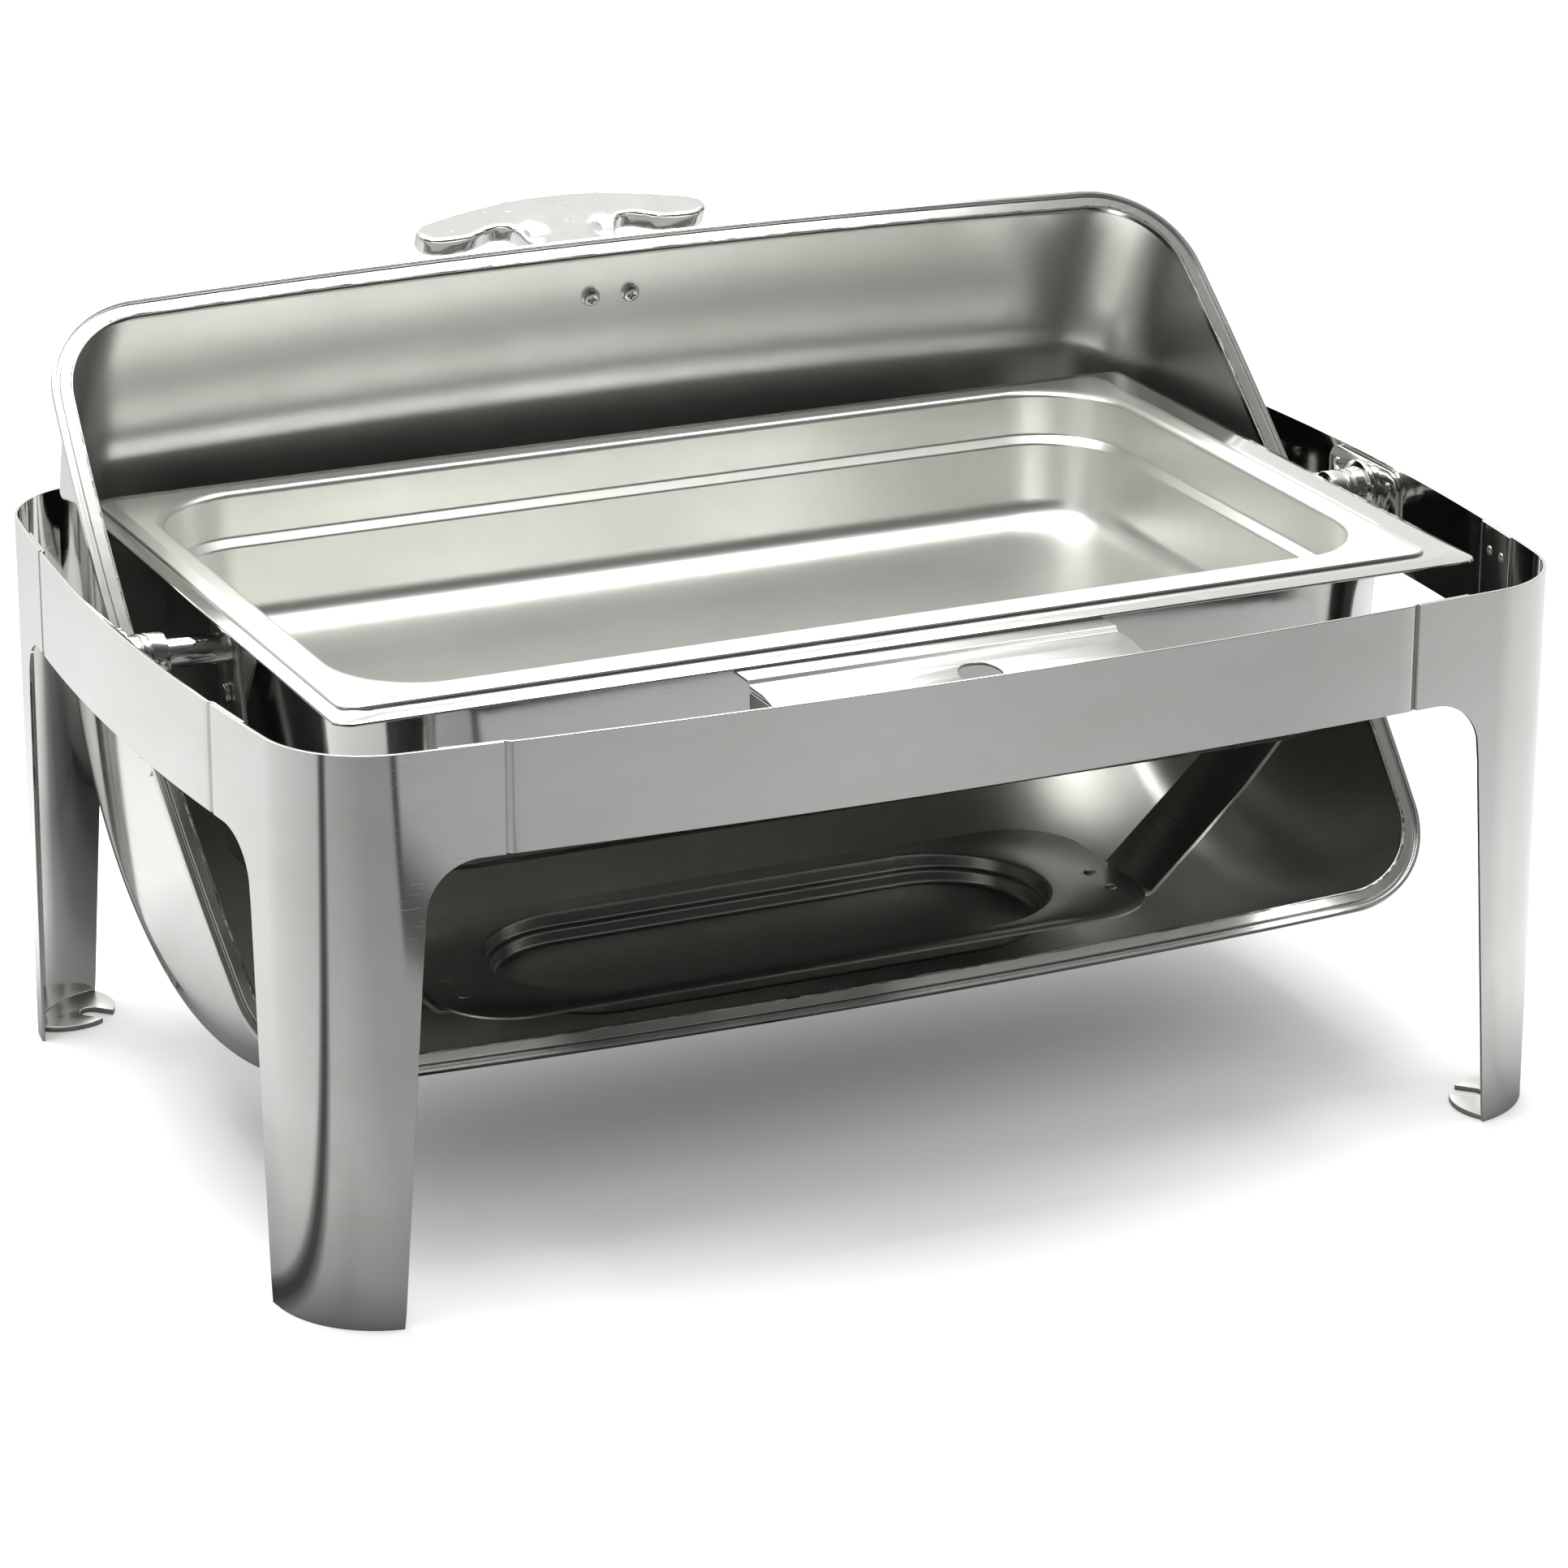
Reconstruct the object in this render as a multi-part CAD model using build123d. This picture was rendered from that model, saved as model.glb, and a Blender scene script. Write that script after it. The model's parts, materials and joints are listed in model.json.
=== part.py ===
"""Full-size roll-top chafing dish, shown with its lid rolled open.

Origin: centre of the frame's footprint, on the surface it stands on. +X runs along the
length, -Y is the serving side, +Z is up. Millimetres and degrees. The food pan is the
starting size: the water pan, lid and frame are each worked out from the piece inside them.
"""

from build123d import *
import math
import os

# ---------------------------------------------------------------- pans
pan_length, pan_width, pan_depth = 530.0, 325.0, 65.0
pan_sheet = 0.9
pan_rim_width = 15.0        # flat and turned edge round the food pan's mouth
pan_corner_radius = 47.0    # mouth corners, seen from above
pan_step_drop = 22.0        # from the rim to the stacking ledge
pan_step_width = 4.0
pan_mouth_taper = 1.2       # how much the mouth narrows down to the ledge
pan_wall_lean = 7.0         # degrees
pan_floor_radius = 14.0
pan_shift_x, pan_shift_y = -6.8, -1.3   # where the loose food pan sits in the water pan
rim_corner_radius = 8.0     # outer corners of both pan rims
rim_edge_slope = 5.5        # width of the sloping margin round both rims
rim_margin_fall = 1.7       # how far that margin slopes down
rim_edge_drop = 1.0         # upright edge below it

water_overhang = 13.0       # water pan rim beyond the food pan rim
water_rim_width = 19.5
water_pan_sheet = 1.0
water_depth = 90.0
water_mouth_radius = 58.0
water_wall_lean = 3.0
water_floor_radius = 20.0
water_shift_x, water_shift_y = -0.6, 2.5
water_rim_rise = 3.3        # above the top of the frame
seat_clearance = 0.3        # between a pan and what it rests on

# ---------------------------------------------------------------- lid
lid_sheet = 0.9
lid_gap_x, lid_gap_y = 17.0, 21.5   # water pan rim to the lid's inner wall
lid_end_bow, lid_front_bow = 8.6, 6.2
lid_corner_radius = 43.0
lid_rim_band = 5.5          # flat band round the lid's mouth
lid_rim_groove, lid_rim_groove_depth = 2.0, 2.0
lid_rim_lip = 2.0
lid_rim_thickness = 3.5
lid_rim_rise = 32.3         # mouth plane above the pivot when the lid is shut
lid_open_angle = 136.6      # how far the lid is rolled back at rest

# ---------------------------------------------------------------- frame
frame_height = 261.0
frame_sheet = 1.5
frame_gap_x, frame_gap_y = 14.4, 13.1   # lid rim to the inside of the rails
frame_end_bow, frame_front_bow = 16.5, 15.9
frame_corner_radius = 49.6
rail_height = 50.0
leg_reach_x, leg_reach_y = 100.4, 105.5         # leg flange, from the frame's outer corner
leg_top_x, leg_top_y = 66.6, 72.6               # leg wings just under the flange
leg_foot_x, leg_foot_y = 52.4, 62.5             # leg wings at the floor
leg_fillet = 25.0
joint_gap = 0.4             # visible seam between leg and rail
tab_length, tab_overlap = 28.0, 4.0
stud_radius, stud_head_radius, stud_head_height = 1.5, 2.3, 0.9
stud_columns = (8.0, 20.0)  # from the seam
stud_rows = (12.0, 38.0)    # below the top of the rail
foot_thickness = 2.5
foot_radius, foot_set_out, foot_slot, foot_slot_length = 26.0, 51.0, 10.5, 15.0

# ---------------------------------------------------------------- pivots
pivot_drop = 17.4           # axis below the top of the frame
axle_radius, axle_wall = 7.25, 1.5
running_clearance = 0.08
boss_radius, boss_flange_radius, boss_flange_thickness = 11.0, 14.5, 3.0
collar_length, collar_recess, collar_recess_radius = 8.0, 2.0, 9.0
washer_thickness, washer_clearance = 0.9, 0.1
ear_sheet = 2.2
ear_end_radius = 11.0
ear_half_width, ear_height = 30.0, 58.0
ear_rivet_offset, ear_rivet_height = 22.0, 50.0
pivot_plate_sheet, pivot_plate_width, pivot_plate_height = 2.0, 64.0, 44.0
pivot_plate_radius = 9.0
pivot_stud_inset = 8.0

# ---------------------------------------------------------------- pan support and fuel shelf
bracket_sheet, bracket_half_width = 2.0, 28.0
bracket_pad_clearance = 0.4     # from the pad's end to the slope of the pan rim
bracket_gap = 2.5           # water pan wall to bracket
bracket_drop = 44.0         # bracket below the pan rim
strap_sheet = 2.0
strap_top_radius = 13.0
strap_bolt_drop = 22.0      # joining bolt below the axis
bolt_radius, bolt_head_radius, bolt_head_height = 2.5, 4.5, 2.5
strap_foot_front, strap_foot_back = -40.0, 6.0
strap_bend_rise = 74.0      # upper bend above the shelf
strap_foot_length = 26.0
shelf_height = 70.0
shelf_sheet = 1.2
shelf_length, shelf_depth, shelf_corner_radius = 364.0, 130.0, 36.0
recess_length, recess_width = 286.0, 102.0
recess_ledge_drop, recess_ledge_width, recess_floor_drop = 7.0, 4.0, 13.5
shelf_rivets_y = (-29.0, -7.0)

bridge_sheet = 1.5
bridge_length, bridge_centre, bridge_end_wall = 179.0, -6.5, 22.0
bridge_ledge, bridge_under_rim = 27.0, 15.0     # ledge width, and how much of it the rim covers
bridge_step, bridge_slope = 2.0, 2.2            # falls in front of the ledge and across the tray
bridge_flat, bridge_slope_width = 13.5, 11.5
bridge_corner_radius = 5.0
bridge_flange = 12.0
bridge_hole_radius, bridge_hole_x, bridge_hole_inset = 10.0, 4.0, 13.0

# ---------------------------------------------------------------- handle
handle_angle = 19.3         # above the horizontal through the pivot, lid shut
handle_x = -2.0
handle_half_span = 77.0
handle_reach, handle_tip_reach = 85.5, 71.5     # from the lid to the wing's outer edge
handle_wing_underside = 59.0
handle_thickness = 9.0
handle_neck, handle_stem, handle_foot = 20.0, 16.0, 25.0    # half widths
handle_stem_height = 25.0
screw_pitch, screw_angle = 20.8, 17.4
screw_radius, screw_length, screw_head_radius, screw_head_height = 2.0, 12.0, 3.8, 2.2
screw_slot_width, screw_slot_depth = 1.0, 1.2
washer_radius, flat_washer_thickness = 4.6, 0.6

# ---------------------------------------------------------------- worked-out places
food_half_x, food_half_y = pan_length / 2, pan_width / 2
water_half_x, water_half_y = food_half_x + water_overhang, food_half_y + water_overhang
water_mouth_x, water_mouth_y = water_half_x - water_rim_width, water_half_y - water_rim_width
lid_inner_x = water_half_x + abs(water_shift_x) + lid_gap_x
lid_inner_y = water_half_y + abs(water_shift_y) + lid_gap_y
lid_rim_width = lid_rim_band + lid_rim_groove + lid_rim_lip
lid_rim_x, lid_rim_y = lid_inner_x + lid_rim_width, lid_inner_y + lid_rim_width
frame_half_x = lid_rim_x + frame_gap_x + frame_sheet
frame_half_y = lid_rim_y + frame_gap_y + frame_sheet
rail_bottom = frame_height - rail_height
pivot_z = frame_height - pivot_drop
rim_drop = rim_margin_fall + rim_edge_drop      # whole height of a pan rim
water_rim_z = frame_height + water_rim_rise
food_rim_z = water_rim_z + rim_drop + seat_clearance
pan_seat_z = water_rim_z - water_pan_sheet - seat_clearance     # top of the brackets' pads
lid_radius = math.hypot(lid_inner_y + lid_sheet, lid_rim_rise)
lid_end_x = lid_inner_x + lid_sheet + 0.25
ear_x = lid_rim_x + 0.3
nodes = {}


# ---------------------------------------------------------------- shared shapes
def bow_radius(half, bow):
    """Radius of a side that swells outwards by bow over a chord of 2 * half."""
    return (half ** 2 + bow ** 2) / (2 * bow)


def bowed_face(half_x, half_y, bow_x, bow_y, radius, inset=0.0):
    """Rounded rectangle whose sides swell outwards by bow_x at the ends, bow_y at front and back.

    An inset one runs parallel to it, all round.
    """
    end_radius, front_radius = bow_radius(half_y - bow_y, bow_x), bow_radius(half_x - bow_x, bow_y)
    end_centre, front_centre = half_x - end_radius, half_y - front_radius
    gap = math.hypot(end_centre, front_centre)
    ux, uy = -end_centre / gap, front_centre / gap
    along = ((end_radius - inset) ** 2 - (front_radius - inset) ** 2 + gap ** 2) / (2 * gap)
    off = math.sqrt((end_radius - inset) ** 2 - along ** 2)
    cx, cy = end_centre + along * ux - off * uy, along * uy + off * ux
    corners = [(cx, cy), (-cx, cy), (-cx, -cy), (cx, -cy)]
    swells = [(0, half_y - inset), (inset - half_x, 0), (0, inset - half_y), (half_x - inset, 0)]
    sides = [ThreePointArc(corners[i], swells[i], corners[(i + 1) % 4]) for i in range(4)]
    face = make_face(Curve() + sides)
    return fillet(face.vertices(), radius - inset)


def rounded_face(half_x, half_y, radius, z=0.0, centre=(0.0, 0.0)):
    return Pos(*centre, z) * RectangleRounded(2 * half_x, 2 * half_y, radius)


def block(x0, x1, y0, y1, z0, z1):
    return Pos((x0 + x1) / 2, (y0 + y1) / 2, (z0 + z1) / 2) * Box(abs(x1 - x0), abs(y1 - y0), abs(z1 - z0))


def rod(start, direction, radius, length):
    """Solid cylinder from a point along a direction."""
    return extrude(Plane(origin=start, z_dir=direction) * Circle(radius), amount=length)


def tube_x(x0, x1, outer, inner, z=None):
    """Ring along X round the pivot axis."""
    height = pivot_z if z is None else z
    ring = Circle(outer) - Circle(inner)
    return extrude(Plane(origin=(x0, 0, height), z_dir=(1, 0, 0)) * ring, amount=x1 - x0)


def both_sides(shape):
    """The right-hand shape and its mirror image on the left."""
    return {"right": shape, "left": mirror(shape, Plane.YZ)}


def add(name, shape):
    nodes[name] = shape


# ---------------------------------------------------------------- frame
def frame_outline(inset=0.0):
    return bowed_face(frame_half_x, frame_half_y, frame_end_bow, frame_front_bow, frame_corner_radius, inset)


def frame_band(inset, z0, z1):
    ring = frame_outline(inset) - frame_outline(inset + frame_sheet)
    return extrude(Pos(0, 0, z0) * ring, amount=z1 - z0)


def wall_place(side, along, depth, z):
    """Point on a rail wall, depth inwards from its outer face, and the way straight inwards there."""
    on_end = side in ("right", "left")
    half, bow = (frame_half_x, frame_end_bow) if on_end else (frame_half_y, frame_front_bow)
    chord = (frame_half_y - frame_front_bow) if on_end else (frame_half_x - frame_end_bow)
    arc = bow_radius(chord, bow)
    sign = 1 if side in ("right", "rear") else -1
    out = sign * (half - arc + math.sqrt((arc - depth) ** 2 - along ** 2))
    return ((out, along, z), (-sign, 0, 0)) if on_end else ((along, out, z), (0, -sign, 0))


def leg_window(along_joint, along_top, along_foot, plane, reach):
    """What is cut away under a leg's flange, up to its tapering wing."""
    points = [(along_joint - 5, -1), (along_foot, -1), (along_top, rail_bottom), (along_joint - 5, rail_bottom)]
    face = make_face(Polyline(*points, close=True))
    corner = [v for v in face.vertices() if abs(v.X - along_top) < 0.01 and v.Y > 1]
    return extrude(plane * fillet(corner, leg_fillet), amount=reach)


def make_leg():
    """Front right leg; the other three are its mirror images."""
    joint_x, joint_y = frame_half_x - leg_reach_x, frame_half_y - leg_reach_y
    keep = block(joint_x, frame_half_x + 5, -frame_half_y - 5, -joint_y, -1, frame_height + 1)
    front = leg_window(joint_x, frame_half_x - leg_top_x, frame_half_x - leg_foot_x,
                       Plane(origin=(0, -joint_y - 20, 0), x_dir=(1, 0, 0), z_dir=(0, -1, 0)), 200)
    end = leg_window(joint_y, frame_half_y - leg_top_y, frame_half_y - leg_foot_y,
                     Plane(origin=(joint_x + 220, 0, 0), x_dir=(0, -1, 0), z_dir=(-1, 0, 0)), 200)
    return (frame_band(0, 0, frame_height) & keep) - front - end


def wall_strip(side, a0, a1):
    """Block that picks out a stretch of one side's wall, at the height of the rails."""
    sign = 1 if side in ("right", "rear") else -1
    near, far = sign * 60.0, sign * (frame_half_x + frame_half_y)
    z0, z1 = rail_bottom - 1, frame_height + 1
    return block(near, far, a0, a1, z0, z1) if side in ("right", "left") else block(a0, a1, near, far, z0, z1)


def seam_place(side):
    """Where the seam between leg and rail is, along the wall from its middle."""
    return (frame_half_y - leg_reach_y) if side in ("right", "left") else (frame_half_x - leg_reach_x)


def stud_places(side, way):
    return [(way * (seam_place(side) + column), frame_height - row)
            for column in stud_columns for row in stud_rows]


def make_rail(side):
    """Outer strip between two seams, with a joggled tab at each end behind the leg flanges."""
    seam = seam_place(side)
    rail = frame_band(0, rail_bottom, frame_height) & wall_strip(side, joint_gap - seam, seam - joint_gap)
    inner = frame_band(frame_sheet, rail_bottom, frame_height)
    for way in (-1, 1):
        tab = inner & wall_strip(side, way * (seam - tab_overlap), way * (seam + tab_length))
        for along, z in stud_places(side, way):
            behind, inward = wall_place(side, along, frame_sheet / 2, z)
            tab -= rod(behind, inward, stud_radius, 2 * frame_sheet)
        rail += tab
    return rail


def joint_studs(side):
    """Welded studs that hold both tabs of one rail: shank through the tab, head inside."""
    leg_face = extrude(frame_outline(frame_sheet), amount=frame_height)
    tab_face = extrude(frame_outline(2 * frame_sheet), amount=frame_height)
    studs = []
    for along, z in stud_places(side, -1) + stud_places(side, 1):
        behind, inward = wall_place(side, along, frame_sheet / 2, z)
        shank = rod(behind, inward, stud_radius, 2 * frame_sheet) & leg_face
        inset, _ = wall_place(side, along, 1.5 * frame_sheet, z)
        head = rod(inset, inward, stud_head_radius, frame_sheet / 2 + stud_head_height) & tab_face
        studs.append(shank + head)
    return studs


def make_foot():
    """Forked plate welded into the foot of the front right leg, its slot open to the inside."""
    cx = frame_half_x - frame_end_bow - frame_corner_radius
    cy = -(frame_half_y - frame_front_bow - frame_corner_radius)
    plane = Plane(origin=(cx, cy, 0), x_dir=(1, -1, 0), z_dir=(0, 0, 1))
    disc = Pos(foot_set_out, 0) * Circle(foot_radius)
    tip = foot_set_out - foot_radius
    slot = Pos(tip + foot_slot_length - foot_slot / 2, 0) * Circle(foot_slot / 2)
    slot += Pos(tip + (foot_slot_length - foot_slot / 2) / 2 - 5, 0) * Rectangle(
        foot_slot_length - foot_slot / 2 + 10, foot_slot)
    fork = extrude(plane * (disc - slot), amount=foot_thickness)
    return fork & extrude(frame_outline(frame_sheet), amount=foot_thickness)


def quarter_copies(shape):
    """The front right piece and its three mirror images, by corner name."""
    rear = mirror(shape, Plane.XZ)
    return {"front_right": shape, "rear_right": rear,
            "front_left": mirror(shape, Plane.YZ), "rear_left": mirror(rear, Plane.YZ)}


def build_frame():
    for corner, leg in quarter_copies(make_leg()).items():
        add(f"leg_{corner}", leg)
    for corner, foot in quarter_copies(make_foot()).items():
        add(f"foot_plate_{corner}", foot)
    studs = []
    for side in ("front", "rear", "left", "right"):
        add(f"rail_{side}", make_rail(side))
        studs += joint_studs(side)
    add("frame_studs", Compound(children=studs))


# ---------------------------------------------------------------- pans
def pan_rim(half_x, half_y, top, sheet, mouth, centre):
    """Flat rim with a sloping margin and a turned-down edge, open where the pan's mouth is."""
    def skin(inset):
        flat = (half_x - rim_edge_slope, half_y - rim_edge_slope, rim_corner_radius, top - inset, centre)
        edge = (half_x - inset, half_y - inset, rim_corner_radius, top - inset - rim_margin_fall, centre)
        margin = loft([rounded_face(*flat), rounded_face(*edge)], ruled=True)
        return margin + extrude(rounded_face(*edge), amount=-rim_edge_drop)
    return skin(0.0) - skin(sheet) - mouth


def pan_body(mouth_x, mouth_y, radius, top, steps, floor_radius, inset, centre):
    """Solid stack of tapering rounded rectangles; steps are (shrink, drop) from the mouth down."""
    faces = [rounded_face(mouth_x - inset - shrink, mouth_y - inset - shrink, radius - inset - shrink,
                          top - drop, centre) for shrink, drop in steps]
    solid = loft(faces[:2], ruled=True)
    for upper, lower in zip(faces[1:], faces[2:]):
        solid += loft([upper, lower], ruled=True)
    floor = solid.faces().sort_by(Axis.Z)[0]
    return fillet(floor.edges(), floor_radius - inset)


def make_water_pan():
    centre = (water_shift_x, water_shift_y)
    lean = math.tan(math.radians(water_wall_lean)) * water_depth

    def body(inset, depth):
        return pan_body(water_mouth_x, water_mouth_y, water_mouth_radius, water_rim_z,
                        [(0.0, 0.0), (lean, depth)], water_floor_radius, inset, centre)

    outer, inner = body(-water_pan_sheet, water_depth), body(0.0, water_depth - water_pan_sheet)
    rim = pan_rim(water_half_x, water_half_y, water_rim_z, water_pan_sheet, inner, centre)
    return (outer + rim) - inner


def make_food_pan():
    centre = (water_shift_x + pan_shift_x, water_shift_y + pan_shift_y)
    step_bottom = pan_step_drop + pan_step_width
    lean = math.tan(math.radians(pan_wall_lean)) * (pan_depth - step_bottom)

    def body(inset, depth):
        steps = [(0.0, 0.0), (pan_mouth_taper, pan_step_drop),
                 (pan_mouth_taper + pan_step_width, step_bottom),
                 (pan_mouth_taper + pan_step_width + lean, depth)]
        return pan_body(food_half_x - pan_rim_width, food_half_y - pan_rim_width, pan_corner_radius,
                        food_rim_z, steps, pan_floor_radius, inset, centre)

    outer, inner = body(-pan_sheet, pan_depth), body(0.0, pan_depth - pan_sheet)
    rim = pan_rim(food_half_x, food_half_y, food_rim_z, pan_sheet, inner, centre)
    return (outer + rim) - inner


# ---------------------------------------------------------------- lid, drawn shut
def open_lid(shape):
    """Turns a piece of the shut lid to where it rests when rolled open."""
    return shape.rotate(Axis((0, 0, pivot_z), (1, 0, 0)), -lid_open_angle)


def lid_profile(inset):
    """Half section of the dome above the pivot axis: bowed ends and a bowed barrel."""
    end, top = lid_end_x - inset, lid_radius - inset
    height = top - lid_front_bow
    arc = bow_radius(height, lid_end_bow)
    mid = end - arc + math.sqrt(arc ** 2 - (height / 2) ** 2)
    side = end - lid_end_bow
    face = make_face(Curve() + [
        ThreePointArc((end, 0), (mid, height / 2), (side, height)),
        ThreePointArc((side, height), (0, top), (-side, height)),
        ThreePointArc((-side, height), (-mid, height / 2), (-end, 0)),
        Line((-end, 0), (end, 0))])
    return fillet([v for v in face.vertices() if v.Y > 1], lid_corner_radius - inset)


def lid_solid(inset=0.0):
    return Pos(0, 0, pivot_z) * revolve(lid_profile(inset), Axis.X, revolution_arc=180)


def lid_rim_face(grow):
    return bowed_face(lid_inner_x + grow, lid_inner_y + grow, lid_end_bow, lid_front_bow,
                      lid_corner_radius + grow)


def make_lid_shell(holes):
    """Dome drilled for its fasteners, with the grooved rim round its mouth."""
    mouth_z = pivot_z + lid_rim_rise
    above = block(-lid_rim_x - 50, lid_rim_x + 50, -lid_radius - 50, lid_radius + 50,
                  mouth_z, mouth_z + 2 * lid_radius)
    shell = (lid_solid() & above) - (lid_solid(lid_sheet) & above) - holes
    rim = extrude(Pos(0, 0, mouth_z) * (lid_rim_face(lid_rim_width) - lid_rim_face(-0.4)),
                  amount=lid_rim_thickness)
    groove = lid_rim_face(lid_rim_band + lid_rim_groove) - lid_rim_face(lid_rim_band)
    rim -= extrude(Pos(0, 0, mouth_z) * groove, amount=lid_rim_groove_depth)
    return open_lid(shell + rim)


def ear_outline(height, half_width):
    """Side view of an ear: round at the pivot, widening up to the lid."""
    points = [(-ear_end_radius, 0), (-half_width, lid_rim_rise), (-half_width, height),
              (half_width, height), (half_width, lid_rim_rise), (ear_end_radius, 0)]
    return make_face(Polyline(*points, close=True)) + Circle(ear_end_radius)


def make_ear():
    """Right-hand ear: riveted to the dome, stepped over the rim, and bored for the axle."""
    rim_top = lid_rim_rise + lid_rim_thickness + 0.2
    inner_x = lid_end_x + 0.2
    profile = [(ear_x, -ear_end_radius), (ear_x + ear_sheet, -ear_end_radius),
               (ear_x + ear_sheet, rim_top + ear_sheet), (inner_x + ear_sheet, rim_top + ear_sheet),
               (inner_x + ear_sheet, ear_height), (inner_x, ear_height), (inner_x, rim_top), (ear_x, rim_top)]
    side = Plane(origin=(0, 0, pivot_z), x_dir=(1, 0, 0), z_dir=(0, -1, 0))
    bent = extrude(side * make_face(Polyline(*profile, close=True)), amount=80, both=True)
    view = Plane(origin=(0, 0, pivot_z), x_dir=(0, 1, 0), z_dir=(1, 0, 0))
    ear = bent & extrude(view * ear_outline(ear_height, ear_half_width), amount=2 * frame_half_x)
    return ear - rod((ear_x - 1, 0, pivot_z), (1, 0, 0), axle_radius + running_clearance, ear_sheet + 2)


def ear_rivets():
    """Two rivets on the right: head on the ear, shank through dome wall, small head inside."""
    rivets, holes = [], []
    for y in (-ear_rivet_offset, ear_rivet_offset):
        z = pivot_z + ear_rivet_height
        face = lid_end_x + 0.2 + ear_sheet
        grip = face - (lid_end_x - lid_sheet - 2.2)
        shank = rod((face, y, z), (-1, 0, 0), stud_radius, grip)
        head = rod((face, y, z), (1, 0, 0), stud_head_radius, 1.0)
        tail = rod((face - grip, y, z), (-1, 0, 0), stud_head_radius, 0.8)
        rivets.append(shank + head + tail)
        holes.append(shank)
    return rivets, holes


def handle_plane(angle):
    """Plane that holds the X axis and the ray leaving the pivot at this angle."""
    a = math.radians(angle)
    return Plane(origin=(handle_x, 0, pivot_z), x_dir=(1, 0, 0), z_dir=(0, -math.sin(a), -math.cos(a)))


def make_handle():
    """Cast T-shaped grip: a wing on a stem that flares into a foot on the dome."""
    base = lid_radius
    tip, top, under = base + handle_tip_reach, base + handle_reach, base + handle_wing_underside
    stem = base + handle_stem_height
    outline = [ThreePointArc((-handle_half_span, tip), (0, top), (handle_half_span, tip))]
    lower = [(handle_half_span, tip), (handle_half_span, under), (handle_neck, under),
             (handle_stem, stem), (handle_foot, base - 6), (-handle_foot, base - 6),
             (-handle_stem, stem), (-handle_neck, under), (-handle_half_span, under),
             (-handle_half_span, tip)]
    outline += [Line(a, b) for a, b in zip(lower, lower[1:])]
    face = make_face(Curve() + outline)
    tips = [v for v in face.vertices() if abs(v.X) > handle_half_span - 1]
    face = fillet(tips, 5.5)
    necks = [v for v in face.vertices() if abs(abs(v.X) - handle_neck) < 0.1 and abs(v.Y - under) < 0.1]
    face = fillet(necks, 9.0)
    body = extrude(handle_plane(handle_angle) * face, amount=handle_thickness / 2, both=True)
    foot = RectangleRounded(2 * handle_foot, 17.0, 6.0)
    a = math.radians((handle_angle + screw_angle) / 2)
    ray = (0, -math.cos(a), math.sin(a))
    centre = (handle_x, -math.cos(a) * (base - 6), pivot_z + math.sin(a) * (base - 6))
    body += extrude(Plane(origin=centre, x_dir=(1, 0, 0), z_dir=ray) * foot, amount=14.0)
    return body - lid_solid()


def handle_fasteners():
    """Two cross-head screws from inside the dome, with flat washers and their holes."""
    a = math.radians(screw_angle)
    ray = (0, -math.cos(a), math.sin(a))
    inner = lid_radius - lid_sheet - 0.1

    def at(x, reach):
        return (handle_x + x, ray[1] * reach, pivot_z + ray[2] * reach)

    screws, washers, holes = [], [], []
    for x in (-screw_pitch / 2, screw_pitch / 2):
        washer = rod(at(x, inner - flat_washer_thickness), ray, washer_radius, flat_washer_thickness)
        hole = rod(at(x, inner - flat_washer_thickness - 1), ray, screw_radius + 0.05, screw_length)
        seat = inner - flat_washer_thickness
        head = rod(at(x, seat - screw_head_height), ray, screw_head_radius, screw_head_height)
        slots = []
        for turn in (0, 90):
            plane = Plane(origin=at(x, seat - screw_head_height), x_dir=(1, 0, 0), z_dir=ray)
            slots.append(extrude(plane * Rot(0, 0, turn) * Rectangle(4.4, screw_slot_width),
                                 amount=screw_slot_depth))
        screws.append(head - slots + rod(at(x, seat), ray, screw_radius, screw_length - 2))
        washers.append(washer - hole)
        holes.append(hole)
    return screws, washers, holes


def build_lid():
    rivets, rivet_holes = ear_rivets()
    left_rivets = [mirror(r, Plane.YZ) for r in rivets]
    left_holes = [mirror(h, Plane.YZ) for h in rivet_holes]
    screws, washers, screw_holes = handle_fasteners()
    add("lid_shell", make_lid_shell(screw_holes + rivet_holes + left_holes))
    for side, ear in both_sides(make_ear() - rivet_holes).items():
        add(f"lid_ear_{side}", open_lid(ear))
    add("ear_rivets", Compound(children=[open_lid(r) for r in rivets + left_rivets]))
    add("handle", open_lid(make_handle() - screw_holes))
    add("handle_screws", Compound(children=[open_lid(s) for s in screws]))
    add("handle_washers", Compound(children=[open_lid(w) for w in washers]))


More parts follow.
